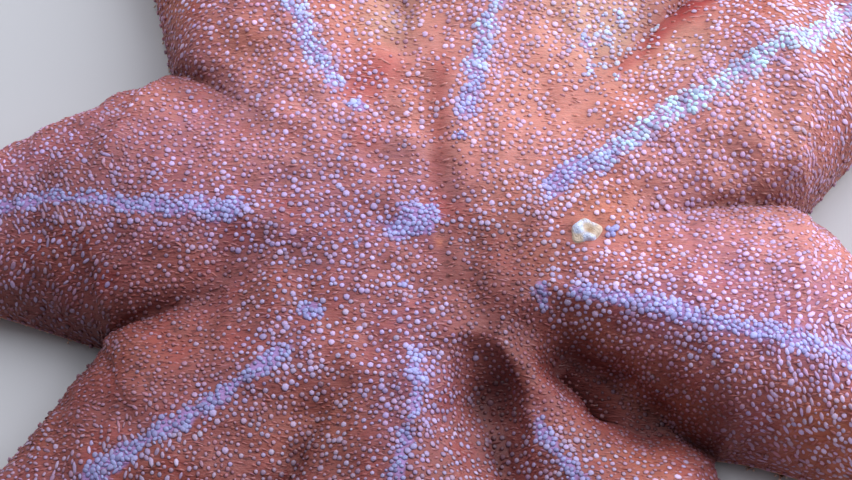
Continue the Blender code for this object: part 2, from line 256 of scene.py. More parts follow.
class RayForm:
    """The outer form of one ray and of its sector of the disc, as the solids have it.

    Two numbers place a point. reach runs from 0 at the disc's middle to 1 at the notches and
    2 at the tip. side runs from -1 at one margin, over the crest at 0, to 1 at the other.
    """

    def __init__(self, ray: Ray, left: Cleft, right: Cleft) -> None:
        """Lays the ray's middle line.

        Args:
            ray: the ray's sizes.
            left: the cleft on its side 1.
            right: the cleft on its side -1.
        """
        self.ray, self.left, self.right = ray, left, right
        third = ray.length / 3
        tip = ray.length * heading(ray.tip_azimuth)
        leaving = third * heading(ray.base_azimuth)
        arriving = tip - third * heading(ray.tip_heading)
        t = np.linspace(0, 1, LINE_SAMPLES)[:, None]
        self.line = 3 * (1 - t) ** 2 * t * leaving + 3 * (1 - t) * t**2 * arriving + t**3 * tip
        steps = np.linalg.norm(np.diff(self.line, axis=0), axis=1)
        self.along = joined([[0], np.cumsum(steps)])
        self.length = self.along[-1]
        self.base = BASE_SHARE * (left.reach + right.reach)

    def on_line(self, distance: Array) -> Array:
        """The points of the middle line at these distances from the disc's middle."""
        return np.stack([np.interp(distance, self.along, axis) for axis in self.line.T], axis=-1)

    def tangent(self, distance: Array) -> Array:
        """The way the middle line runs at these distances."""
        step = 0.5 * MM
        return unit(self.on_line(distance + step) - self.on_line(np.maximum(distance - step, 0)))

    def out(self, reach: Array) -> Array:
        """How far along the middle line a reach lies."""
        return self.base * np.minimum(reach, 1) + (self.length - self.base) * clamp(reach - 1)

    def of_cleft(self, side: Array, name: str) -> Array:
        """One of the clefts' sizes, for the cleft on each point's side."""
        return np.where(side >= 0, getattr(self.left, name), getattr(self.right, name))

    def sector(self, side: Array, reach: Array) -> tuple[Array, Array]:
        """Places points of the disc's part.

        Args:
            side: the points' sides.
            reach: the points' reaches, up to 1.

        Returns:
            Their azimuths in radians and their radii.
        """
        crest = self.on_line(self.base * reach)
        azimuth = np.arctan2(crest[..., 1], crest[..., 0])
        twist = self.of_cleft(side, "twist") * (1 - np.minimum(reach, 1))
        turn = np.radians(self.of_cleft(side, "azimuth") + twist) - azimuth
        turn = (turn + math.pi) % FULL_TURN - math.pi
        radius = np.linalg.norm(crest, axis=-1)
        share = np.abs(side)
        rim = self.of_cleft(side, "reach") * reach
        return azimuth + turn * share, radius + (rim - radius) * share

    def disc_top(self, side: Array, reach: Array) -> Array:
        """Places points on the upper surface of the disc's part.

        Args:
            side: the points' sides.
            reach: the points' reaches, up to 1.

        Returns:
            The points.
        """
        azimuth, radius = self.sector(side, reach)
        out = clamp((reach - LEVEL_MIDDLE) / (1 - LEVEL_MIDDLE))
        crest = DISC_HEIGHT + (self.ray.crest - DISC_HEIGHT) * smooth(out)
        crest = crest - self.ray.sag * np.sin(math.pi * out) ** 2
        start = self.of_cleft(side, "start")
        past = clamp((reach - start) / (1 - start))
        sunk = self.of_cleft(side, "drop") * smooth(past ** self.of_cleft(side, "onset"))
        wall = np.sqrt(clamp(1 - np.minimum(reach, 1) ** NOTCH_WALL))
        low = NOTCH_HEIGHT + (DISC_HEIGHT - NOTCH_HEIGHT - sunk) * wall
        swell = np.cos(math.pi / 2 * side) ** 2
        round_flank = np.sqrt(clamp(1 - side * side))
        height = low + (crest - low) * (swell + (round_flank - swell) * smooth(past))
        return polar(azimuth, radius, height)

    def girth(self, free: Array) -> tuple[Array, Array, Array]:
        """The half-width, the crest's height and the rounded tip's shrink along the free ray."""
        width = RAY_BASE_HALF_WIDTH * self.ray.plump - RAY_TIP_HALF_WIDTH
        height = self.ray.crest - RAY_TIP_HEIGHT
        past = clamp((free - 1 + TIP_ROUNDING) / TIP_ROUNDING)
        return (
            RAY_TIP_HALF_WIDTH + width * (1 - free) ** WIDTH_TAPER,
            RAY_TIP_HEIGHT + height * (1 - free) ** CREST_TAPER,
            np.sqrt(1 - past * past),
        )

    def placed(self, free: Array, across: Array, height: Array) -> Array:
        """Places points of the free ray's sections, drawn in towards their middles at the tip.

        Args:
            free: how far along the free ray they are, from 0 to 1.
            across: how far left of the middle line they are.
            height: how high they are.

        Returns:
            The points.
        """
        _, crest, shrink = self.girth(free)
        distance = self.base + (self.length - self.base) * free
        tangent = self.tangent(distance)
        left = np.stack([-tangent[..., 1], tangent[..., 0]], axis=-1)
        flat = self.on_line(distance) + left * (across * shrink)[..., None]
        middle = CORE_SHARE * crest
        return joined([flat, (middle + (height - middle) * shrink)[..., None]], axis=-1)

    def free_top(self, side: Array, free: Array) -> Array:
        """Points on the upper surface of the free ray, before it is joined to the disc."""
        half, crest, _ = self.girth(free)
        margin = MARGIN_SHARE * crest
        angle = math.pi / 2 * side
        lift = clamp(np.cos(angle)) ** FLANK_FULLNESS
        return self.placed(free, half * np.sin(angle), margin + (crest - margin) * lift)

    @staticmethod
    def flare(free: Array) -> Array:
        """How much of the join to the disc is left along the free ray, from 1 down to 0."""
        return (1 - smooth(free / FLARE_LENGTH)) ** FLARE_POWER

    def top(self, side: Array, reach: Array) -> Array:
        """Points on the upper surface, from the disc's middle to the tip."""
        free = clamp(reach - 1)
        joint = self.disc_top(side, np.ones_like(reach)) - self.free_top(side, np.zeros_like(free))
        on_ray = self.free_top(side, free) + joint * self.flare(free)[..., None]
        return np.where((reach <= 1)[..., None], self.disc_top(side, np.minimum(reach, 1)), on_ray)

    def furrow(self, reach: Array, arc: Array) -> tuple[Array, Array]:
        """The furrow's half-width and depth, narrowed where the sector's half arc is short."""
        share = clamp(reach / 2) ** 1.5
        half = FURROW_HALF_WIDTH + (FURROW_TIP_HALF_WIDTH - FURROW_HALF_WIDTH) * share
        depth = FURROW_DEPTH + (FURROW_TIP_DEPTH - FURROW_DEPTH) * share
        return np.minimum(half, CROWDED * arc), depth

    def bottom(self, side: Array, reach: Array) -> Array:
        """Places points on the underside, which turns up to meet the margins.

        Args:
            side: the points' sides.
            reach: the points' reaches.

        Returns:
            The points.
        """
        share, edge = np.abs(side), np.sign(side) + (side == 0)
        inner, free = np.minimum(reach, 1), clamp(reach - 1)
        none, on_disc = np.zeros_like(free), reach <= 1
        curl = clamp((share - 1 + CURLED) / CURLED) * math.pi / 2
        fade = self.flare(free)
        inset = MARGIN_INSET * (1 - fade) + BASE_INSET * fade
        spread = np.minimum(share / (1 - CURLED), 1) * (1 - inset) + inset * np.sin(curl)
        margin = self.top(edge, np.maximum(reach, 1))
        eased = share + (spread - share) * rise(reach, 0.7, 0.3)
        azimuth, radius = self.sector(np.sign(side) * eased, inner)
        disc_arc = np.abs(self.sector(edge, inner)[0] - self.sector(none, inner)[0]) * radius
        centre = self.placed(free, none, none)[..., :2]
        reach_out = margin[..., :2] - centre
        half, depth = self.furrow(reach, np.where(on_disc, disc_arc, np.inf))
        ray_across = spread * np.linalg.norm(reach_out, axis=-1)
        across = np.where(on_disc, eased * disc_arc, ray_across)
        hollow = depth * (1 - rise(across / half, FURROW_FLAT, 1 - FURROW_FLAT))
        turned_up = margin[..., 2] * (1 - np.cos(curl))
        height = np.maximum(hollow, turned_up * np.where(on_disc, rise(reach, 0.93, 0.07), 1.0))
        _, crest, shrink = self.girth(free)
        squeezed = CORE_SHARE * crest + (height - CORE_SHARE * crest) * shrink
        # The rim is an arc and the ray's first row a chord: the difference fades out along the ray
        rim = polar(*self.sector(np.sign(side) * spread, np.ones_like(reach)))
        first = self.placed(none, none, none)[..., :2]
        chord = first + (self.top(edge, np.ones_like(reach))[..., :2] - first) * spread[..., None]
        on_ray = centre + reach_out * spread[..., None] + (rim - chord) * fade[..., None]
        flat = np.where(on_disc[..., None], polar(azimuth, radius), on_ray)
        points = joined([flat, np.where(on_disc, height, squeezed)[..., None]], axis=-1)
        return np.where(((share >= 1) & (reach >= 1))[..., None], margin, points)


class Ripple:
    """A smooth random field, summed from a few waves in random directions."""

    def __init__(self, wavelength: float, seed: int, waves: int) -> None:
        """Draws the waves.

        Args:
            wavelength: the waves' middle length.
            seed: the seed of the random draws.
            waves: how many waves are summed.
        """
        rng = np.random.default_rng(seed)
        turns = unit(rng.normal(size=(waves, 3)))
        lengths = wavelength * rng.uniform(0.6, 1.6, size=(waves, 1))
        self.vectors = FULL_TURN * turns / lengths
        self.phases = rng.uniform(0, FULL_TURN, size=waves)

    def at(self, points: Array) -> Array:
        """The field at the points, mostly between -1 and 1."""
        waves = np.sin(points @ self.vectors.T + self.phases)
        return waves.sum(axis=-1) / math.sqrt(len(self.phases))


@dataclass(frozen=True)
class Patch:
    """A soft-edged place on the back: round, or drawn out in a straight line to its end."""

    azimuth: float
    distance_mm: float
    radius_mm: float
    strength: float = 1.0
    end: tuple[float, float] | None = None

    def away(self, points: Array) -> Array:
        """How far the points are from its middle or its line, seen from above."""
        middle = spot(self.azimuth, self.distance_mm)
        flat = points[..., :2] - middle
        if self.end is not None:
            run = spot(*self.end) - middle
            flat = flat - clamp(flat @ run / (run @ run))[..., None] * run
        return np.linalg.norm(flat, axis=-1)

    def at(self, points: Array) -> Array:
        """Its strength at the points, fading out with distance."""
        return self.strength * faded(self.away(points), self.radius_mm * MM)


def patches(*rows: tuple) -> tuple[Patch, ...]:
    """Patches from (azimuth, distance in mm, radius in mm, strength, end), the last two optional."""
    return tuple(Patch(*row) for row in rows)


@dataclass
class Roots:
    """Places on the skin, with what the tufts rooted there need to know."""

    points: Array
    normals: Array
    lateral: Array
    outward: Array
    reach: Array
    side: Array
    uv: Array
    ray: Array

    def take(self, chosen: Array) -> "Roots":
        """Only the chosen places."""
        return Roots(*(getattr(self, part.name)[chosen] for part in fields(self)))

    @staticmethod
    def join(sets: Sequence["Roots"]) -> "Roots":
        """All the places of several sets."""
        names = [part.name for part in fields(Roots)]
        return Roots(*(joined([getattr(one, name) for one in sets]) for name in names))

    def __len__(self) -> int:
        """How many places there are."""
        return len(self.points)

    def of_ray(self, name: str) -> Array:
        """One of the rays' sizes, for the ray that each place is on."""
        return np.array([getattr(ray, name) for ray in RAYS])[self.ray]


@dataclass
class Sheet:
    """A grid of skin points over one ray and its sector: rows go outwards, columns across."""

    ray: int
    ids: Array
    reach: Array
    side: Array
    outward: Array
    points: Array = field(init=False)
    normals: Array = field(init=False)
    lateral: Array = field(init=False)
    uv: Array = field(init=False)

    def settle(self, points: Array, normals: Array, uv_floor: float) -> None:
        """Takes the finished skin's points and lays out the sheet's unwrap.

        Args:
            points: all of the skin's points.
            normals: all of the skin's normals.
            uv_floor: the height on the map where the sheet's strip starts.
        """
        self.points, self.normals = points[self.ids], normals[self.ids]
        steps = np.linalg.norm(np.diff(self.points, axis=1), axis=-1)
        arcs = joined([np.zeros((len(steps), 1)), np.cumsum(steps, axis=1)], axis=1)
        middle = self.ids.shape[1] // 2
        self.lateral = arcs - arcs[:, middle : middle + 1]
        across = (self.ray + 0.5) / len(RAYS) + self.lateral * UNWRAP_ACROSS
        self.uv = np.stack([across, uv_floor + self.outward * UNWRAP_ALONG], axis=-1)

    def grids(self) -> list[Array]:
        """What is kept at the grid's points, in the order in which places keep it."""
        return [getattr(self, part.name) for part in fields(Roots) if part.name != "ray"]

    def roots(self) -> Roots:
        """All the grid's points as places, row by row."""
        flat = [grid.reshape(-1, *grid.shape[2:]) for grid in self.grids()]
        return Roots(*flat, np.full(self.ids.size, self.ray))

    def at(self, row: Array, column: Array) -> Roots:
        """Reads places between the grid's points.

        Args:
            row: the places' rows, with fractions.
            column: the places' columns, with fractions.

        Returns:
            The places.
        """
        last_row, last_column = self.ids.shape[0] - 2, self.ids.shape[1] - 2
        low = np.clip(np.floor(row).astype(int), 0, last_row)
        left = np.clip(np.floor(column).astype(int), 0, last_column)
        values = []
        for grid in self.grids():
            more = (slice(None),) + (None,) * (grid.ndim - 2)
            up, over = (row - low)[more], (column - left)[more]
            near = grid[low, left] * (1 - over) + grid[low, left + 1] * over
            far = grid[low + 1, left] * (1 - over) + grid[low + 1, left + 1] * over
            values.append(near * (1 - up) + far * up)
        places = Roots(*values, np.full(len(row), self.ray))
        return replace(places, normals=unit(places.normals))

    def strewn(self, count: int, rng: np.random.Generator) -> Roots:
        """Random places, as many to each square millimetre everywhere.

        Args:
            count: how many places.
            rng: the source of the random draws.

        Returns:
            The places.
        """
        first = self.points[1:, :-1] - self.points[:-1, :-1]
        second = self.points[:-1, 1:] - self.points[:-1, :-1]
        area = np.linalg.norm(np.cross(first, second), axis=-1)
        cell = rng.choice(area.size, size=count, p=area.ravel() / area.sum())
        rows, columns = np.unravel_index(cell, area.shape)
        return self.at(rows + rng.uniform(size=count), columns + rng.uniform(size=count))


def new_piece(
    name: str,
    points: Array,
    triangles: Array,
    material: Material,
    marks: dict[str, Array],
    uv: Array,
) -> bpy.types.Object:
    """Makes a smooth-shaded mesh piece that rides with the body.

    Args:
        name: the piece's name.
        points: its points.
        triangles: the points of each triangle.
        material: its finish.
        marks: values to keep at its points, by name.
        uv: the map's coordinates at each triangle's corners.

    Returns:
        The piece.
    """
    data = bpy.data.meshes.new(name)
    data.vertices.add(len(points))
    data.vertices.foreach_set("co", points.astype(np.float32).ravel())
    data.loops.add(triangles.size)
    data.loops.foreach_set("vertex_index", triangles.astype(np.int32).ravel())
    data.polygons.add(len(triangles))
    data.polygons.foreach_set("loop_start", np.arange(0, triangles.size, 3, dtype=np.int32))
    data.update(calc_edges=True)
    data.validate()
    for mark, values in marks.items():
        attribute = data.attributes.new(mark, "FLOAT", "POINT")
        attribute.data.foreach_set("value", values.astype(np.float32))
    layer = data.uv_layers.new(name="OFBake")
    layer.data.foreach_set("uv", uv.astype(np.float32).ravel())
    data.shade_smooth()
    data.materials.append(material)
    piece = bpy.data.objects.new(name, data)
    bpy.context.scene.collection.objects.link(piece)
    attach(piece, "root")
    LOG.info("%s: %d triangles", name, len(triangles))
    return piece


class Wire:
    """A value, vector or colour that comes out of a node, written in sums as a number is."""

    def __init__(self, bench: "Bench", socket: bpy.types.NodeSocket) -> None:
        """Keeps the socket and the bench that adds nodes."""
        self.bench, self.socket = bench, socket

    def _joined(self, operation: str, left: Any, right: Any) -> "Wire":
        """The result of a sum, on vectors if this wire is one."""
        kind = "ShaderNodeVectorMath" if self.socket.type == "VECTOR" else "ShaderNodeMath"
        return self.bench.node(kind, {"operation": operation}, {0: left, 1: right})

    def __add__(self, other: Any) -> "Wire":
        """This plus the other."""
        return self._joined("ADD", self, other)

    def __sub__(self, other: Any) -> "Wire":
        """This less the other."""
        return self._joined("SUBTRACT", self, other)

    def __rsub__(self, other: Any) -> "Wire":
        """The other less this."""
        return self._joined("SUBTRACT", other, self)

    def __mul__(self, other: Any) -> "Wire":
        """This times the other."""
        return self._joined("MULTIPLY", self, other)

    __radd__, __rmul__ = __add__, __mul__


class Bench:
    """A material being made: it adds nodes and joins them."""

    def __init__(self, name: str) -> None:
        """Starts a material with its Principled shader."""
        self.material = bpy.data.materials.new(name)
        self.material.use_nodes = True
        self.tree = self.material.node_tree
        self.shader = self.tree.nodes["Principled BSDF"]

    def feed(self, socket: bpy.types.NodeSocket, value: Any) -> None:
        """Sets a socket to a value, or links a wire to it."""
        if isinstance(value, Wire):
            self.tree.links.new(value.socket, socket)
        elif isinstance(value, tuple) and socket.type == "RGBA":
            socket.default_value = (*value[:3], 1.0)
        else:
            socket.default_value = value

    def node(
        self, kind: str, settings: dict[str, Any], inputs: dict[str | int, Any], output: str | int = 0
    ) -> Wire:
        """Adds a node.

        Args:
            kind: the node's type.
            settings: its own settings, set before its sockets.
            inputs: values or wires, by the socket's name or place.
            output: the name or place of the output that is wanted.

        Returns:
            The wire out of it.
        """
        made = self.tree.nodes.new(kind)
        for name, value in settings.items():
            setattr(made, name, value)
        for name, value in inputs.items():
            if isinstance(name, int):
                socket = made.inputs[name]
            else:
                socket = next(s for s in made.inputs if s.enabled and s.name == name)
            self.feed(socket, value)
        if isinstance(output, int):
            return Wire(self, [s for s in made.outputs if s.enabled][output])
        return Wire(self, made.outputs[output])

    def mark(self, name: str) -> Wire:
        """The value kept at the mesh's points under this name."""
        return self.node("ShaderNodeAttribute", {"attribute_name": name}, {}, "Fac")

    def noise(
        self, size: float, detail: float = 2.0, roughness: float = 0.5, stretch: Triple = (1, 1, 1)
    ) -> Wire:
        """Adds cloudy noise from 0 to 1, by the place on the object.

        Args:
            size: about how wide its features are.
            detail: how many finer layers it has.
            roughness: how strong the finer layers are.
            stretch: how closely it is packed along x, y and z.

        Returns:
            The noise.
        """
        place = self.node("ShaderNodeTexCoord", {}, {}, "Object") * stretch
        inputs = {"Vector": place, "Scale": 1 / size, "Detail": detail, "Roughness": roughness}
        return self.node("ShaderNodeTexNoise", {}, inputs, "Fac")

    def ramp(self, value: Any, low: float, high: float) -> Wire:
        """The value spread softly over 0 to 1 between two limits."""
        inputs = {"Value": value, "From Min": low, "From Max": high}
        return self.node("ShaderNodeMapRange", {"interpolation_type": "SMOOTHSTEP"}, inputs)

    def blend(self, share: Any, first: Any, second: Any, how: str = "MIX") -> Wire:
        """Two colours mixed."""
        settings = {"data_type": "RGBA", "blend_type": how}
        inputs = {"Factor": share, "A": first, "B": second}
        return self.node("ShaderNodeMix", settings, inputs)

    def layered(self, colour: Any, *layers: tuple[Any, Any]) -> Any:
        """A colour with others laid over it in turn, each given as its share and itself."""
        for share, over in layers:
            colour = self.blend(share, colour, over)
        return colour

    def shaded(self, colour: Wire, shade: Wire) -> Wire:
        """A colour times a grey."""
        parts = {"Red": shade, "Green": shade, "Blue": shade}
        grey = self.node("ShaderNodeCombineColor", {}, parts)
        return self.blend(1.0, colour, grey, "MULTIPLY")

    def bump(self, height: Wire, depth: float) -> Wire:
        """A bent normal for a height from 0 to 1 that stands for this depth."""
        return self.node("ShaderNodeBump", {}, {"Height": height, "Distance": depth, "Strength": 1.0})

    def finish(self, **sockets: Any) -> Material:
        """Sets the shader's sockets and gives the material."""
        for name, value in sockets.items():
            self.feed(self.shader.inputs[name.replace("_", " ")], value)
        return self.material


@dataclass(frozen=True)
class FleshColours:
    """The colours that the skin and everything rooted in it share."""

    flesh: Colour = (0.54, 0.155, 0.080)
    plum: Colour = (0.34, 0.105, 0.19)
    umber: Colour = (0.17, 0.034, 0.030)
    ruddy: Colour = (0.45, 0.050, 0.045)
    # Painted shade: the dark red laid down in the clefts and along fine creases
    deep: Colour = (0.10, 0.015, 0.014)
    sallow: Colour = (0.62, 0.37, 0.27)
    violet: Colour = (0.32, 0.20, 0.52)
    frost: Colour = (0.58, 0.38, 0.72)
    pale_flesh: Colour = (0.62, 0.22, 0.16)
    # Lighter pink: partly the skin's own colour, partly painted light
    rose: Colour = (0.76, 0.33, 0.27)
    mottle_size: float = 1.6 * MM
    fibre_size: float = 0.42 * MM
    fibre_stretch: Triple = (0.22, 1.0, 1.0)
    crease_stretch: Triple = (0.35, 1.0, 1.0)

    def skin_colour(self, bench: Bench) -> Wire:
        """The skin's colour with its markings, painted shade and painted light, from the values kept at
        the points.
        """
        mottle = bench.ramp(bench.noise(self.mottle_size, 3.0), 0.40, 0.68)
        fibres = bench.noise(self.fibre_size, 3.0, stretch=self.fibre_stretch)
        # Fine creases from noise, drawn as painted shade: more of it where the skin is painted dim,
        # less where it is painted light
        crease_shade = bench.noise(self.fibre_size, 3.0, 0.65, self.crease_stretch)
        depth = 0.35 + bench.mark("dusk") * 0.6 - bench.mark("rose") * 0.22
        between = bench.blend(bench.mark("icy"), self.violet, self.frost)
        return bench.layered(
            self.flesh,
            (bench.mark("mauve"), self.plum),
            (mottle * 0.40, self.umber),
            # Painted light: lighter pink skin on the upper right and the top
            (bench.mark("rose") * 0.7, self.rose),
            (bench.ramp(fibres, 0.36, 0.66) * 0.4, self.pale_flesh),
            # Painted shade: umber over the places painted dim
            (bench.mark("dusk") * 0.8, self.umber),
            # Painted shade along the fine creases
            (bench.ramp(crease_shade, 0.56, 0.62) * depth, self.deep),
            (bench.mark("sallow"), self.sallow),
            (bench.mark("flush"), self.ruddy),
            # Painted shade down in the clefts and in the shadow patches
            (bench.mark("deep"), self.deep),
            (bench.ramp(bench.mark("stripe"), 0.4, 1.0) * 0.75, between),
        )


@dataclass(frozen=True)
class SkinFinish:
    """Moist, finely grained skin."""

    colours: FleshColours = FleshColours()
    roughness: float = 0.5
    grain: float = 0.38 * MM
    grain_depth: float = 0.14 * MM

    def material(self) -> Material:
        """Makes the finish."""
        bench = Bench("skin")
        return bench.finish(
            Base_Color=self.colours.skin_colour(bench),
            Roughness=self.roughness + bench.noise(0.8 * MM) * 0.15,
            Normal=bench.bump(bench.noise(self.grain, 3.0, 0.6, (0.3, 1.0, 1.0)), self.grain_depth),
            Subsurface_Weight=0.12,
            Subsurface_Scale=0.6 * MM,
            Specular_IOR_Level=0.45,
        )


@dataclass(frozen=True)
class TuftFinish:
    """Spinelets: flesh-coloured at the root, and pale or lavender at the tip."""

    colours: FleshColours = FleshColours()
    salmon: Colour = (0.62, 0.25, 0.33)
    pearl: Colour = (0.88, 0.70, 1.0)
    lilac: Colour = (0.70, 0.53, 1.0)
    blush: Colour = (0.84, 0.50, 0.66)
    lavender: Colour = (0.50, 0.45, 1.0)
    ice: Colour = (0.62, 0.90, 1.0)
    roughness: float = 0.42

    def material(self) -> Material:
        """Makes the finish."""
        bench = Bench("spinelets")
        tone = bench.mark("tone")
        rosy = bench.mark("rose") * 0.45
        pearl = bench.layered(self.pearl, (bench.mark("mauve"), self.lilac), (rosy, self.blush))
        icy = bench.mark("icy") * (0.35 + tone * 0.85)
        tip = bench.layered(
            self.salmon,
            (bench.mark("pale"), pearl),
            (bench.mark("stripe"), bench.blend(icy, self.lavender, self.ice)),
            # Painted shade on the tufts' tips down in the clefts
            (bench.mark("deep") * 0.9, self.colours.deep),
        )
        height = bench.ramp(bench.mark("along"), 0.30, 0.85)
        colour = bench.blend(height, self.colours.skin_colour(bench), tip)
        # Random tone, times painted shade over the places painted dim
        shade = (0.68 + tone * 0.38) * (1.0 - bench.mark("dusk") * 0.45)
        return bench.finish(
            Base_Color=bench.shaded(colour, shade),
            Roughness=self.roughness + tone * 0.15,
            Normal=bench.bump(bench.noise(0.11 * MM, 2.0), 0.03 * MM),
            Subsurface_Weight=0.1,
            Subsurface_Scale=0.3 * MM,
            Specular_IOR_Level=0.5,
        )


@dataclass(frozen=True)
class GillFinish:
    """The soft gills between the tufts: translucent flesh, lighter at their ends."""

    colours: FleshColours = FleshColours()
    bloom: Colour = (0.46, 0.13, 0.095)
    mauve: Colour = (0.60, 0.29, 0.38)
    roughness: float = 0.4

    def material(self) -> Material:
        """Makes the finish."""
        bench = Bench("gills")
        colours = self.colours
        end = bench.ramp(bench.mark("along"), 0.0, 0.8)
        bloom = bench.layered(
            self.bloom,
            (bench.mark("mauve") * 0.4 + bench.mark("tone") * 0.7 - 0.1, self.mauve),
            # Painted light: lighter pink gills on the upper right and the top
            (bench.mark("rose") * 0.6, colours.rose),
            (bench.mark("sallow") * 0.7, colours.sallow),
            # Painted shade: umber over the places painted dim
            (bench.mark("dusk") * 0.6, colours.umber),
            # Painted shade on the gills down in the clefts
            (bench.mark("deep"), colours.deep),
        )
        skin = colours.skin_colour(bench)
        layers = ((end * 0.9, bloom), (bench.mark("stripe") * 0.7, colours.violet))
        return bench.finish(
            Base_Color=bench.layered(skin, *layers),
            Roughness=self.roughness,
            Subsurface_Weight=0.15,
            Subsurface_Scale=0.4 * MM,
        )


@dataclass(frozen=True)
class Marking:
    """One marking: its level and patches, and what the uneven fields and the halo add to it."""

    level: float = 0.0
    spots: tuple[Patch, ...] = ()
    wander: float = 0.0
    patchy: float = 0.0
    crowd: float = 0.0
    halo: float = 0.0
    broken: float = 0.0
    low: float = 0.0
    high: float = 1.0


@dataclass
class Markings:
    """What differs over the body: stripes, pale and duller places, flushes, painted shade in the clefts
    and over the lower left, and painted light on the upper right.
    """

    stripe_half: float = 1.15 * MM
    stripe_edge: float = 1.25 * MM
    stripe_sway: float = 0.35 * MM
    stripe_swell: float = 0.25
    stripe_fray: float = 0.38 * MM
    stripe_onset: float = 2.5 * MM
    icy_widening: float = 0.35
    tip_narrowing: float = 0.35
    halo_reach: float = 3.6 * MM
    disc_paleness: float = 0.85
    clusters: tuple[Patch, ...] = patches(
        (4.6, 20.1, 0.9), (128, 4.3, 2.3), (163, 5.2, 1.5, 0.9), (112, 2.9, 1.3, 0.7),
        (118.6, 21, 1.4), (330.7, 13.3, 1.4), (210.7, 17.2, 1.6), (259.5, 14.5, 1.3),
        (232, 6.6, 0.9, 0.7), (80, 14.5, 1.2, 0.7), (53, 33, 7, 0.42),
        (62, 44, 9, 0.36), (337, 33, 6, 0.38), (160, 11, 7, 0.30),
    )
    # Where the tufts' tips are duller: painted shade in the pit and groove by ray_7 and over the lower
    # left, elsewhere their own duller colour
    dull: tuple[Patch, ...] = patches(
        (78, 9.5, 2.4, 0.9), (84, 14, 2.2, 0.7), (315, 10, 6, 0.75),
        (350, 9, 3, 0.6), (300, 19.5, 6, 0.9), (320, 24, 4.5, 0.9),
        (323, 32, 4.5, 0.8), (190, 26, 3.2, 0.8), (200, 34, 9, 0.5),
        (254, 27, 7, 0.4), (320.1, 27, 6, 0.5), (324.7, 37, 8, 0.5),
        (205, 42, 9, 0.5),
    )
    # Painted shadow in the pit and the groove on either side of ray_7
    shades: tuple[Patch, ...] = patches(
        (289, 18.6, 3.6, 1), (286.5, 24.5, 2.8, 0.9), (286, 30, 2.2, 0.8),
        (319.5, 19.5, 2.8, 0.9), (319.5, 24.5, 3.4, 1), (321.5, 31, 3.6, 1),
        (324.5, 38, 3.6, 0.9), (306, 14, 7, 0.35),
    )
    # How ruddy the skin is
    flush: Marking = Marking(0.0, patches(
        (112, 24, 3.4, 0.55), (103.5, 25.6, 2.4, 0.5), (119, 16.5, 2.4, 0.4),
        (90, 4, 1.7, 0.3, (90, 25)), (47.4, 33.5, 1.4, 0.85, (47.3, 45)),
        (47.2, 46.5, 2.1, 0.95, (47, 53)),
    ), patchy=0.12)
    # How yellowish it is
    sallow: Marking = Marking(0.0, patches(
        (57, 36.5, 6, 0.5), (52, 36.5, 4, 0.3), (42, 40.5, 4, 0.4),
        (66, 45, 9, 0.5), (101.7, 31, 3, 0.8), (99, 38, 5, 0.5),
    ))
    # How brown and dim it is: painted shade over the lower left and the lower rays, in the middle and
    # round the groove by ray_7, with some of the skin's own browner colour
    dusk: Marking = Marking(0.0, patches(
        (60, 2.5, 1.8, 0.5, (90, 24)), (343.4, 3.7, 3.4, 0.6), (160, 10, 14, 0.5),
        (322, 33, 9, 0.6), (198, 46, 20, 0.95), (168, 44, 15, 0.7),
        (228, 36, 17, 0.9), (265, 30, 13, 0.8), (300, 30, 9, 0.6),
        (0, 9, 7, 0.6), (310, 13, 9, 0.7), (190, 20, 10, 0.35),
    ), crowd=0.10)
    # How much of the orange gives way to mauve
    mauve: Marking = Marking(0.20, patches(
        (165, 11, 14, 0.8), (150, 32, 14, 0.5), (0, 38, 13, 0.6),
        (168, 44, 14, 0.6), (22, 40, 11, 0.5), (348, 38, 9, 0.6),
        (120, 16, 9, 0.4), (262, 17, 8, 0.4), (74, 36, 7, 0.4),
    ), wander=0.20, halo=0.48)
    # How pink the skin is and how much lighter: partly its own pink, partly painted light on the upper
    # right and the top
    rose: Marking = Marking(0.0, patches(
        (20, 40, 12, 1), (75, 45, 24, 0.7), (80, 20, 14, 0.5),
        (130, 25, 13, 0.6), (50, 20, 12, 0.4), (4, 42, 10, 0.4),
        (155, 40, 9, 0.3),
    ))
    # What share of the tufts is missing
    bare: Marking = Marking(0.02, patches(
        (47.3, 24.6, 3, 0.75), (47.6, 30.8, 1.6, 0.9, (47, 48)), (41.7, 40.6, 3.2, 0.45),
        (103.5, 25.6, 2.4, 0.8), (89.8, 28.1, 4, 0.6), (88, 4, 1.1, 0.9, (90, 22)),
        (80, 20, 2, 0.5), (62.4, 26.5, 2.4, 0.5), (53, 23.2, 2.2, 0.6),
        (296.7, 2.9, 2.6, 0.5),
    ), crowd=0.22, halo=-0.3, high=0.96)
    # How much wider apart the tufts stand than elsewhere
    spacing: Marking = Marking(1.08, patchy=0.17, halo=-0.2, broken=0.12, low=0.75, high=1.5)

    def __post_init__(self) -> None:
        """Draws the fields that make the markings uneven, from the widest to the finest."""
        self.wander = Ripple(13 * MM, 11, 24)
        self.patchy = Ripple(6 * MM, 12, 40)
        self.crowd = Ripple(5 * MM, 14, 40)
        self.broken = Ripple(2.2 * MM, 13, 40)

    @staticmethod
    def total(spots: Sequence[Patch], roots: Roots) -> Array:
        """What patches add up to at the places."""
        return sum(patch.at(roots.points) for patch in spots)

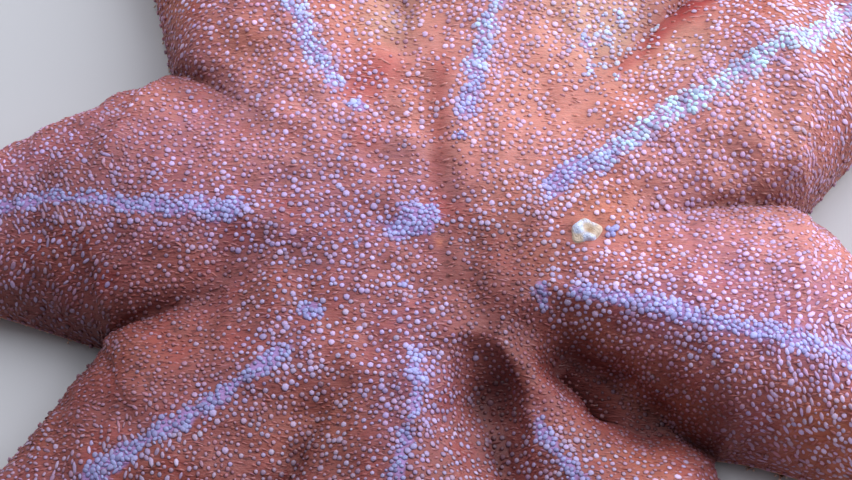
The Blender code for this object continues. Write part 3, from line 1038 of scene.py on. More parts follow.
    def stripe(self, roots: Roots) -> Array:
        """Finds how far each place belongs to a lavender stripe or cluster.

        Args:
            roots: the places.

        Returns:
            A share from 0 to 1 for each.
        """
        broken = self.broken.at(roots.points)
        half = self.stripe_half * (0.95 + self.stripe_swell * self.patchy.at(roots.points))
        half = half + self.stripe_fray * broken
        half = half * (1 + self.icy_widening * roots.of_ray("ice"))
        half = half * (1 - self.tip_narrowing * rise(roots.reach, 1, 0.9))
        away = np.abs(roots.lateral - self.stripe_sway * self.wander.at(roots.points))
        line = 1 - smooth((away - half) / self.stripe_edge + 0.5)
        started = (roots.outward - roots.of_ray("stripe_from")) / self.stripe_onset
        line = line * smooth(started + 0.5) * rise(broken, -2.2, 1.2)
        spots = self.total(self.clusters, roots) - 0.25 + 0.22 * broken
        return clamp(np.maximum(line, smooth(spots / 0.55)))

    def halo(self, roots: Roots) -> Array:
        """How near a place is to a stripe, where the coat is thicker and paler, from 0 to 1."""
        started = (roots.outward - roots.of_ray("stripe_from")) / (4 * MM)
        return faded(roots.lateral, self.halo_reach) * smooth(started + 1)

    def pale(self, roots: Roots) -> Array:
        """How pale the tufts' tips are, from 0 to 1."""
        level = roots.of_ray("paleness") - self.disc_paleness
        level = self.disc_paleness + level * rise(roots.reach, 0.35, 0.5)
        # Duller tips: painted shade by ray_7 and on the lower left, their own colour elsewhere
        level = level - self.total(self.dull, roots)
        flank = rise(np.abs(roots.side), 0.6, 0.5) * 0.15
        level = level + 0.2 * self.halo(roots) - flank
        return clamp(level + 0.2 * self.patchy.at(roots.points))

    def value(self, name: str, roots: Roots) -> Array:
        """Works out one of the plain markings.

        Args:
            name: the marking's name.
            roots: the places.

        Returns:
            How strong it is at each place.
        """
        marking = getattr(self, name)
        level = marking.level
        if marking.halo:
            level = level + marking.halo * self.halo(roots)
        for uneven in ("wander", "patchy", "crowd", "broken"):
            if getattr(marking, uneven):
                level = level + getattr(marking, uneven) * getattr(self, uneven).at(roots.points)
        level = self.total(marking.spots, roots) + level
        return np.clip(level, marking.low, marking.high)

    def deep(self, roots: Roots) -> Array:
        """How much painted shade a place gets: down in a cleft, and in the shadow patches by ray_7,
        from 0 to 1.
        """
        near = rise(np.abs(roots.side), 0.72, 0.28)
        out = rise(roots.reach, 0.45, 0.4) * (1 - rise(roots.reach, 1.0, 0.3))
        return clamp(np.maximum(0.55 * near * out, self.total(self.shades, roots)))

    def all(self, roots: Roots) -> dict[str, Array]:
        """Every marking at the places, by the name that the finishes read."""
        made = {"icy": clamp(0.2 + roots.of_ray("ice") * rise(roots.reach, 0.3, 0.4))}
        made |= {"stripe": self.stripe(roots), "pale": self.pale(roots)}
        made |= {name: self.value(name, roots) for name in ("flush", "sallow", "dusk", "mauve", "rose")}
        return made | {"deep": self.deep(roots)}


@dataclass
class Skin:
    """The one skin of disc and rays, which lies inside the solids by the coat's depth."""

    markings: Markings
    finish: SkinFinish = SkinFinish()
    across: int = 44
    under: int = 28
    inner_rows: int = 46
    rim_rows: int = 12
    free_rows: int = 74
    under_start: float = 0.155
    swell: float = 0.22 * MM
    dents: tuple[Patch, ...] = patches(
        (186, 24.5, 3.2, 0.9 * MM), (289, 18.8, 3, 2.6 * MM), (319.5, 20.5, 2.6, 1.8 * MM),
        (320, 25.5, 3, 2.2 * MM), (321.5, 31, 3, 1.6 * MM), (232, 26, 3, 0.5 * MM),
        (115, 24, 3.5, 0.5 * MM),
    )
    # Each ring of the mouth's dish, in millimetres: its radius and its height
    mouth_dish: tuple[tuple[float, float], ...] = (
        (1.6, 4.4), (1.9, 3.3), (2.4, 2.9), (3.2, 2.8), (4.2, 2.7), (5.2, 2.4), (6.0, 1.9), (6.5, 1.2),
    )
    throat: float = 5.6 * MM
    tip_angles: tuple[int, ...] = (8, 16, 25, 34, 44, 54, 64, 74, 83)

    def __post_init__(self) -> None:
        """Sets out the rows, and lays the points of the outer form."""
        self.forms = [RayForm(ray, CLEFTS[k], CLEFTS[k - 1]) for k, ray in enumerate(RAYS)]
        rim = np.linspace(0.94, 1.0, self.rim_rows)
        self.disc_rows = joined([np.linspace(0.025, 0.925, self.inner_rows), rim])
        free = joined([
            np.linspace(0.006, 0.055, 8),
            np.linspace(0.066, 1 - TIP_ROUNDING, self.free_rows),
            1 - TIP_ROUNDING * (1 - np.sin(np.radians(np.array(self.tip_angles)))),
        ])
        self.ray_rows = 1 + free
        self.laid: list[Array] = []
        self.count = 0
        self.tops = self.lay(self.across, self.disc_rows, None)
        first = int(np.argmax(self.disc_rows > self.under_start))
        self.bottoms = self.lay(self.under, self.disc_rows[first:], self.tops)

    def add(self, points: Array) -> Array:
        """Adds points and gives their numbers, in the same layout."""
        flat = points.reshape(-1, 3)
        ids = np.arange(self.count, self.count + len(flat)).reshape(points.shape[:-1])
        self.laid.append(flat)
        self.count += len(flat)
        return ids

    @staticmethod
    def sides(reach: float, cells: int) -> Array:
        """The sides of a row's points: even on the level disc, by angle on a round flank."""
        even = np.linspace(-1, 1, cells + 1)
        by_angle = np.sin(math.pi / 2 * even)
        if reach <= 1:
            return even + (by_angle - even) * rise(reach, 0.45, 0.55)
        return by_angle + (even - by_angle) * rise(reach, 1, FLARE_LENGTH)

    def lay(self, cells: int, disc_rows: Array, tops: list[Sheet] | None) -> list[Sheet]:
        """Lays the points of the backs, or of the undersides.

        Args:
            cells: how many cells a row has on each ray.
            disc_rows: the reaches of the disc's rows.
            tops: the backs whose margins the undersides share, or None for the backs.

        Returns:
            A sheet for each ray.
        """
        sheets = []
        reaches = joined([disc_rows, self.ray_rows])
        own = len(disc_rows) - (0 if tops is None else 1)
        side = np.array([self.sides(reach, cells) for reach in reaches])
        reach = np.repeat(reaches[:, None], cells + 1, axis=1)
        for k, form in enumerate(self.forms):
            points = form.top(side, reach) if tops is None else form.bottom(side, reach)
            ids = np.zeros(side.shape, int)
            ids[:, 1:-1] = self.add(points[:, 1:-1])
            ids[:own, -1] = self.add(points[:own, -1])
            for margin in (0, -1):
                if tops is None:
                    ids[own:, margin] = self.add(points[own:, margin])
                else:
                    ids[own:, margin] = tops[k].ids[len(self.disc_rows) - 1 :, margin]
            sheets.append(Sheet(k, ids, reach, side, form.out(reach)))
        for k, sheet in enumerate(sheets):
            sheet.ids[:own, 0] = sheets[k - 1].ids[:own, -1]
        return sheets

    def dish(self) -> Array:
        """Lays the rings of the mouth's dish, and gives their numbers from the throat outwards."""
        edge = joined([sheet.ids[0, :-1] for sheet in self.bottoms])
        points = joined(self.laid)[edge]
        turn = np.arctan2(points[:, 1], points[:, 0])
        rows = []
        for radius, height in np.array(self.mouth_dish) * MM:
            level = np.maximum(points[:, 2] * rise(radius, 4 * MM, 2.5 * MM), height)
            rows.append(self.add(polar(turn, radius, level)))
        return ringed(np.array([*rows, edge]))

    def corners(self, kept: str, dish: Array, throat: Any, middle: Any, ends: Any) -> Array:
        """Gathers what the sheets and the dish keep, at the corners of the skin's triangles.

        Args:
            kept: the name that the sheets keep it under.
            dish: what the mouth dish's grid keeps.
            throat: what its throat keeps.
            middle: what the disc's middle keeps, or None for the mean of the row round it.
            ends: what each ray's tip keeps, or None likewise.

        Returns:
            Three values for each triangle.
        """
        tops, bottoms = ([getattr(one, kept) for one in side] for side in (self.tops, self.bottoms))
        parts = [quads(grid, True) for grid in tops]
        parts += [quads(grid, False) for grid in bottoms]
        parts += [quads(dish, False), fan(dish[0], throat, True)]
        parts += [fan(grid[0], middle, False) for grid in tops]
        parts += [fan(grid[-1], end, True) for grid, end in zip(tops, ends)]
        parts += [fan(grid[-1], end, False) for grid, end in zip(bottoms, ends)]
        return joined(parts)

    def build(self) -> None:
        """Makes the skin, sunk by the coat's depth, and settles the sheets on it."""
        dish = self.dish()
        middle, throat = self.add(np.array([[0.0, 0.0, DISC_HEIGHT], [0.0, 0.0, self.throat]]))
        one, none, height = np.ones(1), np.zeros(1), np.full(1, CORE_SHARE * RAY_TIP_HEIGHT)
        ends = self.add(joined([form.placed(one, none, height) for form in self.forms]))
        faces = self.corners("ids", dish, throat, middle, ends)
        points = self.sunk(joined(self.laid), faces)
        normals = normals_of(points, faces)
        for sheet in self.tops:
            sheet.settle(points, normals, TOP_STRIP)
        for sheet in self.bottoms:
            sheet.settle(points, normals, BOTTOM_STRIP)
        flat_dish = 0.5 + UNWRAP_FLAT * points[dish][..., :2]
        uv = self.corners("uv", flat_dish, 0.5, None, [None] * len(RAYS))
        marks = self.marks(len(points))
        skin = new_piece("skin", points, faces, self.finish.material(), marks, uv)
        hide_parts("central_disc", *(ray.name for ray in RAYS))

    def sunk(self, points: Array, faces: Array) -> Array:
        """Sinks the points by the coat's depth, and lets the back swell and dip a little."""
        lumps = Ripple(8 * MM, 5, 40).at(points) + 0.6 * Ripple(3.6 * MM, 6, 40).at(points)
        relief = self.swell * lumps - sum(dent.at(points) for dent in self.dents)
        relief = relief * rise(points[:, 2], 1.5 * MM, 5 * MM)
        sunk = points + normals_of(points, faces) * (relief - COAT_DEPTH)[:, None]
        sunk[:, 2] = np.maximum(sunk[:, 2], 4 * FLOOR_GAP)
        return sunk

    def marks(self, count: int) -> dict[str, Array]:
        """The markings at the skin's points; the underside is pale throughout."""
        values = {name: np.zeros(count) for name in self.markings.all(self.tops[0].roots())}
        for sheet in self.bottoms:
            values["sallow"][sheet.ids] = 0.7
        for sheet in self.tops:
            for name, found in self.markings.all(sheet.roots()).items():
                values[name][sheet.ids.ravel()] = found
        return values


@dataclass(frozen=True)
class Shape:
    """A small part to be copied many times: its crown is about one in radius, its height one."""

    points: Array
    triangles: Array
    along: Array

    @staticmethod
    def join(parts: Sequence["Shape"]) -> "Shape":
        """Several parts as one."""
        starts = np.cumsum([0, *(len(part.points) for part in parts)])
        return Shape(
            joined([part.points for part in parts]),
            joined([part.triangles + start for part, start in zip(parts, starts)]),
            joined([part.along for part in parts]),
        )

    @staticmethod
    def turned(rings: Sequence[Triple], sides: int) -> "Shape":
        """A part turned on the upright axis, which ends in a point.

        Args:
            rings: (radius, height, share of the way from root to tip) from the root upwards;
                the last one is the point, whose radius isn't used.
            sides: how many sides it has.

        Returns:
            The part.
        """
        circle = polar(np.arange(sides) * FULL_TURN / sides, 1.0)
        levels = len(rings) - 1
        points = [np.column_stack([r * circle, np.full(sides, z)]) for r, z, _ in rings[:-1]]
        points.append(np.array([[0.0, 0.0, rings[-1][1]]]))
        along = np.append(np.repeat([share for _, _, share in rings[:-1]], sides), rings[-1][2])
        grid = ringed(np.arange(levels * sides).reshape(levels, sides))
        triangles = [quads(grid[low : low + 2], False) for low in range(levels - 1)]
        triangles.append(fan(grid[-1], levels * sides, False))
        return Shape(joined(points), joined(triangles), along)

    def aimed(self, foot: Array, tip: Array, width: float, spin: float) -> "Shape":
        """This part, one high, stretched from a foot to a tip.

        Args:
            foot: where its root goes.
            tip: where its point goes.
            width: what its radius of one becomes.
            spin: how far it is turned on its own axis, in radians.

        Returns:
            The part in its place.
        """
        axis = tip - foot
        first = unit(np.cross(axis, [0.31, 0.2, 0.13]))
        second = np.cross(unit(axis), first)
        x = self.points[:, :1] * math.cos(spin) - self.points[:, 1:2] * math.sin(spin)
        y = self.points[:, :1] * math.sin(spin) + self.points[:, 1:2] * math.cos(spin)
        placed = foot + width * (x * first + y * second) + self.points[:, 2:] * axis
        return replace(self, points=placed)


@dataclass(frozen=True)
class TuftForm:
    """How a tuft of spinelets is made: a round head set with blunt tips."""

    ring: int
    inner: int
    head_sides: int
    spread: float
    thickness: float
    dome: float
    head: float
    foot_height: float
    untidy: float = 0.08
    sides: int = 3

    def shapes(self, count: int, seed: int) -> list[Shape]:
        """Several tufts, no two alike."""
        rng = np.random.default_rng(seed)
        return [self.shape(rng) for _ in range(count)]

    def about(self, rng: np.random.Generator, size: Any = None) -> Any:
        """Random factors a little above or below one."""
        return 1 + self.untidy * rng.normal(size=size)

    def shape(self, rng: np.random.Generator) -> Shape:
        """Makes one tuft.

        Args:
            rng: the source of the random draws.

        Returns:
            The tuft.
        """
        finger = Shape.turned([(1.0, 0.0, 0.7), (0.85, 0.75, 1.0), (0.0, 1.0, 1.0)], self.sides)
        crown = 1 - 0.5 * self.dome
        rings = [
            (1.12 * self.head, -0.3, 0.0),
            (0.98 * self.head, 0.34, 0.5),
            (0.62 * self.head, 0.82 * crown, 0.85),
            (0.0, crown, 1.0),
        ]
        head = Shape.turned(rings, self.head_sides)
        head.points[:, :2] *= self.about(rng, (len(head.points), 1))
        parts = [head]
        tips = ((self.ring, self.spread, 1 - self.dome), (self.inner, 0.28 * (self.inner > 1), 1.0))
        for number, radius, height in tips:
            first = rng.uniform(0, FULL_TURN)
            for k in range(number):
                turn = first + (k + self.untidy * rng.normal()) * FULL_TURN / number
                out = radius * self.about(rng)
                way = np.array([math.cos(turn), math.sin(turn), 0.0])
                foot = 0.7 * out * way + [0, 0, self.foot_height]
                tip = 1.05 * out * way + [0, 0, height * self.about(rng)]
                width = self.thickness * self.about(rng)
                parts.append(finger.aimed(foot, tip, width, rng.uniform(0, FULL_TURN)))
        return Shape.join(parts)


class Taken:
    """Remembers the places that are taken, and keeps new ones at their distance."""

    def __init__(self, cell: float) -> None:
        """Starts with no place taken; no gap may be wider than the cell."""
        self.cell = cell
        self.cells: dict[tuple[int, int, int], list[Triple]] = {}

    def settle(self, points: Array, gaps: Array) -> Array:
        """Takes the places in turn, each unless one already taken is too near.

        Args:
            points: the places.
            gaps: how far each has to be from those that are taken.

        Returns:
            The numbers of the places that were taken.
        """
        kept = []
        keys = np.floor(points / self.cell).astype(int)
        steps = (-1, 0, 1)
        near = [(i, j, k) for i in steps for j in steps for k in steps]
        rows = zip(points.tolist(), keys.tolist(), (gaps**2).tolist())
        for number, ((x, y, z), (a, b, c), limit) in enumerate(rows):
            taken = (at for i, j, k in near for at in self.cells.get((a + i, b + j, c + k), ()))
            if not any((x - u) ** 2 + (y - v) ** 2 + (z - w) ** 2 < limit for u, v, w in taken):
                self.cells.setdefault((a, b, c), []).append((x, y, z))
                kept.append(number)
        return np.array(kept, int)


@dataclass(frozen=True)
class Planting:
    """Copies of small shapes, one to a root: the shapes take turns."""

    shapes: Sequence[Shape]
    roots: Roots
    axes: Array  # for each root, what the shape's x, y and z become, as three rows
    marks: dict[str, Array]
    material: Material

    def part(self, chosen: Array) -> "Planting":
        """Only the chosen roots' copies, whose shapes take turns anew."""
        marks = {mark: values[chosen] for mark, values in self.marks.items()}
        return replace(self, roots=self.roots.take(chosen), axes=self.axes[chosen], marks=marks)

    def plant(self, name: str) -> None:
        """Makes the copies one piece.

        Args:
            name: the piece's name.
        """
        points, triangles, maps, along, owner = [], [], [], [], []
        start = 0
        for number, shape in enumerate(self.shapes):
            mine = np.arange(number, len(self.roots), len(self.shapes))
            size = len(shape.points)
            placed = np.einsum("pk,nkc->npc", shape.points, self.axes[mine])
            placed = placed + self.roots.points[mine][:, None]
            placed[..., 2] = np.maximum(placed[..., 2], FLOOR_GAP)
            points.append(placed.reshape(-1, 3))
            first = start + np.arange(len(mine))[:, None, None] * size
            triangles.append((shape.triangles[None] + first).reshape(-1, 3))
            start += len(mine) * size
            # On the map a shape narrows to half towards its tip, so that its sides show
            flat = shape.points[:, :2] * (1 - 0.5 * shape.along[:, None])
            flat = flat / max(float(np.linalg.norm(flat, axis=1).max()), 1.0)
            maps.append((self.roots.uv[mine][:, None] + 0.5 * TUFT_PATCH * flat).reshape(-1, 2))
            along.append(np.tile(shape.along, len(mine)))
            owner.append(np.repeat(mine, size))
        owners, faces = joined(owner), joined(triangles)
        marks = {mark: values[owners] for mark, values in self.marks.items()}
        marks["along"] = joined(along)
        uv = joined(maps)[faces]
        new_piece(name, joined(points), faces, self.material, marks, uv)


@dataclass
class Coat:
    """The coat on the back: tufts of spinelets, with soft gills between them."""

    skin: Skin
    markings: Markings
    finish: TuftFinish = TuftFinish()
    gill_finish: GillFinish = GillFinish()
    disc_gap: float = 0.60 * MM
    disc_reach: float = 0.80
    stripe_gap: float = 0.46 * MM
    row_pitch: float = 0.67 * MM
    across_pitch: float = 1.26 * MM
    ray_gap: float = 0.60 * MM
    sweep: float = 0.55
    stray: float = 0.10
    gill_gap: float = 0.49 * MM
    radius_mm: float = 0.325
    radius_lost_mm: float = 0.025
    height: float = 0.17 * MM
    gill_radius: float = 0.25 * MM
    gill_height: float = 0.11 * MM
    tip_shrink: float = 0.42
    stripe_seeds: int = 300000
    disc_seeds: int = 90000
    gill_seeds: int = 110000
    disc_tuft: TuftForm = TuftForm(4, 0, 6, 0.46, 0.36, 0.08, 0.96, 0.45)
    ray_tuft: TuftForm = TuftForm(0, 0, 7, 0.5, 0.4, 0.0, 1.0, 0.4)
    plate_place: Patch = Patch(5.0, 17.0, 2.5)

    def __post_init__(self) -> None:
        """Starts the random draws and the record of taken places, and makes the finish."""
        self.material = self.finish.material()
        self.rng = np.random.default_rng(20)
        self.taken = Taken(1.25 * MM)
        self.wave = Ripple(9 * MM, 31, 30)

    def outside_plate(self, roots: Roots) -> Roots:
        """The places that aren't on the sieve plate."""
        return roots.take(self.plate_place.away(roots.points) > self.plate_place.radius_mm * MM)

    def keep(self, roots: Roots, gap: float, spacing: float | Array = 1.0) -> Roots:
        """Takes the places that are far enough from those already taken.

        Args:
            roots: the places, in the order in which they are tried.
            gap: how far apart they have to be on the disc.
            spacing: how much wider apart than that each has to be.

        Returns:
            The places that were taken.
        """
        gaps = np.minimum(gap * spacing * self.scale(roots.reach), self.taken.cell)
        return roots.take(self.taken.settle(roots.points, gaps))

    def clothed(self, roots: Roots) -> Roots:
        """The places that are left when the bare spots have lost most of theirs."""
        return roots.take(self.rng.uniform(size=len(roots)) > self.markings.value("bare", roots))

    def scale(self, reach: Array) -> Array:
        """How small the coat is at a reach: 1 on the disc, less towards the tips."""
        return 1 - self.tip_shrink * rise(reach, 1.15, 0.85)

    def strewn(self, count: int) -> Roots:
        """About this many random places over the whole back, in random order."""
        sheets = self.skin.tops
        areas = np.array([np.ptp(sheet.lateral, axis=1).sum() for sheet in sheets])
        shares = (count * areas / areas.sum()).astype(int)
        roots = Roots.join([sheet.strewn(share, self.rng) for sheet, share in zip(sheets, shares)])
        return self.outside_plate(roots.take(self.rng.permutation(len(roots))))

    def rows(self, sheet: Sheet) -> Roots:
        """Places in alternate rows across one ray, which sweep outwards on its flanks.

        Args:
            sheet: the ray's sheet.

        Returns:
            The places.
        """
        outward = sheet.outward[:, 0]
        numbers = np.arange(len(outward))
        at = float(np.interp(self.disc_reach, sheet.reach[:, 0], outward))
        rows, columns = [], []
        shift = 0.0
        while at < outward[-1]:
            row = float(np.interp(at, outward, numbers))
            scale = float(self.scale(np.interp(row, numbers, sheet.reach[:, 0])))
            low = min(int(row), len(outward) - 2)
            lateral = sheet.lateral[low] + (sheet.lateral[low + 1] - sheet.lateral[low]) * (row - low)
            pitch = self.across_pitch * scale
            slots = np.arange(math.floor(lateral[0] / pitch), math.ceil(lateral[-1] / pitch) + 1)
            places = (slots + shift) * pitch
            places = places[(places > lateral[0]) & (places < lateral[-1])]
            swept = at + self.sweep * np.abs(places)
            kept = swept < outward[-1]
            columns.append(np.interp(places[kept], lateral, np.arange(len(lateral))))
            rows.append(np.interp(swept[kept], outward, numbers))
            at += self.row_pitch * scale
            shift = 0.5 - shift
        row, column = joined(rows), joined(columns)
        row = row + 0.5 * self.wave.at(sheet.at(row, column).points)
        row = row + self.rng.normal(scale=self.stray, size=len(row))
        column = column + self.rng.normal(scale=self.stray, size=len(row))
        row = np.clip(row, 0, len(outward) - 1)
        column = np.clip(column, 0, sheet.ids.shape[1] - 1)
        return self.outside_plate(sheet.at(row, column))

    def place_tufts(self) -> Roots:
        """Finds a place for every tuft: stripes first, then the rays' rows, then the rest."""
        seeds = self.strewn(self.stripe_seeds)
        striped = self.markings.stripe(seeds) > self.rng.uniform(0.2, 0.95, size=len(seeds))
        seeds = seeds.take(striped)
        parts = [self.keep(seeds, self.stripe_gap, self.rng.uniform(0.85, 1.35, size=len(seeds)))]
        for sheet in self.skin.tops:
            parts.append(self.keep(self.clothed(self.rows(sheet)), self.ray_gap))
        for gap in (1.12, 1.0):
            places = self.strewn(self.disc_seeds)
            spacing = self.markings.value("spacing", places)
            parts.append(self.clothed(self.keep(places, gap * self.disc_gap, spacing)))
        return Roots.join(parts)

    def row_turn(self, roots: Roots) -> Array:
        """Which way the rows run at the places, in radians round from x."""
        along = np.radians(roots.of_ray("tip_azimuth"))
        here = np.arctan2(roots.points[:, 1], roots.points[:, 0])
        return along + np.sign(np.sin(here - along)) * (math.pi / 2 - math.atan(self.sweep))

    def axes(
        self, roots: Roots, radius: Array, height: Array, lean: float, stretch: Any, turn: Array
    ) -> Array:
        """What each tuft's x, y and z become.

        Args:
            roots: where the tufts are rooted.
            radius: their crowns' radii.
            height: their heights.
            lean: how far they lean at random, as a slope.
            stretch: how much longer than wide their crowns are.
            turn: which way the longer side points, in radians round the normal.

        Returns:
            Three rows for each tuft.
        """
        up = unit(roots.normals + self.rng.normal(scale=lean, size=roots.normals.shape))
        east = unit(np.cross(np.array([0.0, 1.0, 0.0]), up) + 1e-9)
        north = np.cross(up, east)
        cos, sin = np.cos(turn)[:, None], np.sin(turn)[:, None]
        first = (east * cos + north * sin) * (radius * stretch)[:, None]
        second = (north * cos - east * sin) * (radius / np.sqrt(stretch))[:, None]
        return np.stack([first, second, up * height[:, None]], axis=1)

    def jitter(self, values: Array, scale: float) -> Array:
        """Values from 0 to 1, each a little more or less at random."""
        return clamp(values + self.rng.normal(scale=scale, size=len(values)))

    def build_tufts(self) -> None:
        """Builds the tufts, in three pieces for the disc and one for each ray."""
        roots = self.place_tufts()
        marks, count = self.markings.all(roots), len(roots)
        marks["pale"] = self.jitter(marks["pale"], 0.24)
        tone = 0.55 + self.rng.normal(scale=0.28, size=count)
        marks["tone"] = clamp(tone + 0.15 * self.markings.broken.at(roots.points))
        marks["mauve"] = self.jitter(marks["mauve"], 0.22)
        stripe, scale = marks["stripe"], self.scale(roots.reach)
        on_ray = rise(roots.reach, 0.8, 0.3)
        size = np.clip(1 + self.rng.normal(scale=0.2, size=count), 0.55, 1.6)
        radius = (self.radius_mm - self.radius_lost_mm * on_ray) * MM * scale * size
        radius = radius * (0.74 + 0.28 * marks["pale"]) * (1 + 0.05 * stripe)
        height = self.height * (1 - 0.22 * on_ray) * np.sqrt(scale) * (1 + 0.15 * stripe)
        flank = 1 - 0.35 * on_ray * rise(np.abs(roots.side), 0.6, 0.4)
        height = height * (0.82 + 0.18 * size) * flank
        uneven = np.maximum(on_ray * (1 - 0.4 * stripe), 0.3 * stripe)
        stretch = 1 + uneven * np.abs(self.rng.normal(scale=0.55, size=count))
        turn = self.row_turn(roots) + self.rng.normal(size=count) * (0.25 + 0.6 * stripe)
        axes = self.axes(roots, radius, height, 0.10, stretch, turn)
        disc = np.flatnonzero(roots.reach < 1.0)
        disc = disc[np.argsort(roots.ray[disc], kind="stable")]
        shapes = self.disc_tuft.shapes(2, 1) + self.ray_tuft.shapes(3, 4)
        planting = Planting(shapes, roots, axes, marks, self.material)
        for number, part in enumerate(np.array_split(disc, 3)):
            planting.part(part).plant(f"tufts_disc_{number + 1}")
        planting = replace(planting, shapes=self.ray_tuft.shapes(5, 2))
        for number, ray in enumerate(RAYS):
            part = np.flatnonzero((roots.reach >= 1.0) & (roots.ray == number))
            planting.part(part).plant(f"tufts_{ray.name}")

    def build_gills(self) -> None:
        """Builds the gills among the tufts, in two pieces of a few rays each."""
        roots = self.keep(self.strewn(self.gill_seeds), self.gill_gap)
        marks, count, scale = self.markings.all(roots), len(roots), self.scale(roots.reach)
        marks["tone"] = self.rng.uniform(size=count)
        radius = self.gill_radius * scale * self.rng.uniform(0.75, 1.3, size=count)
        height = self.gill_height * scale * self.rng.uniform(0.6, 1.3, size=count)
        stretch = self.rng.uniform(1.2, 3.0, size=count)
        turn = self.rng.normal(scale=0.25, size=count)
        axes = self.axes(roots, radius, height, 0.2, stretch, turn)
        shape = Shape.turned([(1.0, -0.5, 0.0), (0.70, 0.66, 0.7), (0.0, 1.0, 1.0)], 4)
        planting = Planting([shape], roots, axes, marks, self.gill_finish.material())
        for number, part in enumerate(np.array_split(np.argsort(roots.ray, kind="stable"), 2)):
            planting.part(part).plant(f"gills_{number + 1}")


@dataclass(frozen=True)
class OralFinish:
    """The pale spinelets of the underside and of the margins."""

    root: Colour = (0.60, 0.26, 0.16)
    tip: Colour = (0.78, 0.60, 0.50)
    roughness: float = 0.5

    def material(self) -> Material:
        """Makes the finish."""
        bench = Bench("oral_spinelets")
        colour = bench.blend(bench.ramp(bench.mark("along"), 0.2, 0.9), self.root, self.tip)
        colour = bench.shaded(colour, 0.8 + bench.noise(1.5 * MM) * 0.35)
        return bench.finish(Base_Color=colour, Roughness=self.roughness)


@dataclass(frozen=True)
class TubeFootFinish:
    """Translucent, yellowish tube feet with paler suckers."""

    stem: Colour = (0.72, 0.40, 0.18)
    sucker: Colour = (0.86, 0.68, 0.48)
    roughness: float = 0.3

    def material(self) -> Material:
        """Makes the finish."""
        bench = Bench("tube_feet")
        rings = bench.ramp(bench.noise(0.3 * MM), 0.3, 0.7)
        end = bench.ramp(bench.mark("along"), 0.6, 0.95)
        return bench.finish(
            Base_Color=bench.layered(self.stem, (rings * 0.3, self.sucker), (end, self.sucker)),
            Roughness=self.roughness,
            Subsurface_Weight=0.3,
            Subsurface_Scale=0.5 * MM,
        )


@dataclass(frozen=True)
class JawFinish:
    """The jaws' chalky plates and blunt spines."""

    chalk: Colour = (0.80, 0.62, 0.46)
    gum: Colour = (0.55, 0.22, 0.13)
    roughness: float = 0.55

    def material(self) -> Material:
        """Makes the finish."""
        bench = Bench("jaws")
        worn = bench.ramp(bench.noise(0.7 * MM, 3.0), 0.35, 0.65)
        layers = ((bench.mark("along"), self.chalk), (worn * 0.4, self.gum))
        return bench.finish(
            Base_Color=bench.layered(self.gum, *layers),
            Roughness=self.roughness,
            Normal=bench.bump(bench.noise(0.4 * MM, 3.0), 0.08 * MM),
        )


@dataclass(frozen=True)
class PlateFinish:
    """The sieve plate: chalky, bluish white on its lobes and yellowish brown between them."""

    chalk: Colour = (0.62, 0.72, 0.98)
    cream: Colour = (0.60, 0.47, 0.36)
    stain: Colour = (0.30, 0.16, 0.07)
    roughness: float = 0.6

    def material(self) -> Material:
        """Makes the finish."""
        bench = Bench("sieve_plate")
        cloud = bench.noise(0.9 * MM, 2.0) * 0.5 - 0.25
        colour = bench.layered(
            self.cream,
            (bench.ramp(bench.mark("lobe") + cloud, 0.15, 0.62), self.chalk),
            (bench.mark("stain"), self.stain),
            (bench.mark("groove") * 0.4, self.cream),
        )
        return bench.finish(
            Base_Color=colour,
            Roughness=self.roughness,
            Normal=bench.bump(bench.noise(0.25 * MM, 3.0), 0.06 * MM),
        )


@dataclass(frozen=True)
class EyeFinish:
    """The eyespots' beady red cushions."""

    red: Colour = (0.52, 0.03, 0.02)
    orange: Colour = (0.72, 0.16, 0.05)
    flesh: Colour = (0.58, 0.185, 0.120)
    roughness: float = 0.3

    def material(self) -> Material:
        """Makes the finish."""
        bench = Bench("eyespots")
        along = bench.mark("along")
        base, top = bench.ramp(along, -0.9, 0.0), bench.ramp(along, 0.2, 0.9)
        return bench.finish(
            Base_Color=bench.layered(self.flesh, (base, self.orange), (top, self.red)),
            Roughness=self.roughness,
            Coat_Weight=0.3,
        )


@dataclass
class Fringe:
    """Two rows of stouter spine brushes along every ray's margins, which the coat keeps clear of."""

    coat: Coat
    gap: float = 1.5 * MM
    least_gap: float = 0.9 * MM
    radius: float = 0.38 * MM
    height: float = 0.36 * MM
    start: float = 1.03
    end_inset: float = 0.6 * MM
    level: float = 0.45
    rows: tuple[tuple[float, float], ...] = ((0.4, 0.0), (3.2, 0.5))  # column, share of a gap
    tuft: TuftForm = TuftForm(4, 1, 5, 0.62, 0.36, 0.16, 0.80, 0.3, 0.1)

    def build(self) -> None:
        """Builds the brushes as one piece, and marks their places as taken."""
        coat, places = self.coat, []
        for sheet in coat.skin.tops:
            outward = sheet.outward[:, 0]
            first = float(np.interp(self.start, sheet.reach[:, 0], outward))
            for inset, phase in self.rows:
                at = np.arange(first + phase * self.gap, outward[-1] - self.end_inset, self.gap)
                row = np.interp(at, outward, np.arange(len(outward)))
                for column in (inset, sheet.ids.shape[1] - 1 - inset):
                    places.append(sheet.at(row, np.full(len(row), column)))
        roots = coat.keep(Roots.join(places), self.least_gap)
        marks, count, scale = coat.markings.all(roots), len(roots), coat.scale(roots.reach)
        marks["tone"] = coat.rng.uniform(size=count)
        marks["pale"] = coat.jitter(marks["pale"] * 0.6, 0.15)
        tilted = replace(roots, normals=unit(roots.normals * np.array([1.0, 1.0, self.level])))
        height = self.height * scale * coat.rng.uniform(0.85, 1.15, size=count)
        height = np.minimum(height, roots.points[:, 2] / 0.4)
        turn = coat.rng.uniform(0, ABOUT_A_TURN, size=count)
        axes = coat.axes(tilted, self.radius * scale, height, 0.06, 1.0, turn)
        Planting(self.tuft.shapes(4, 3), roots, axes, marks, coat.material).plant("fringe")


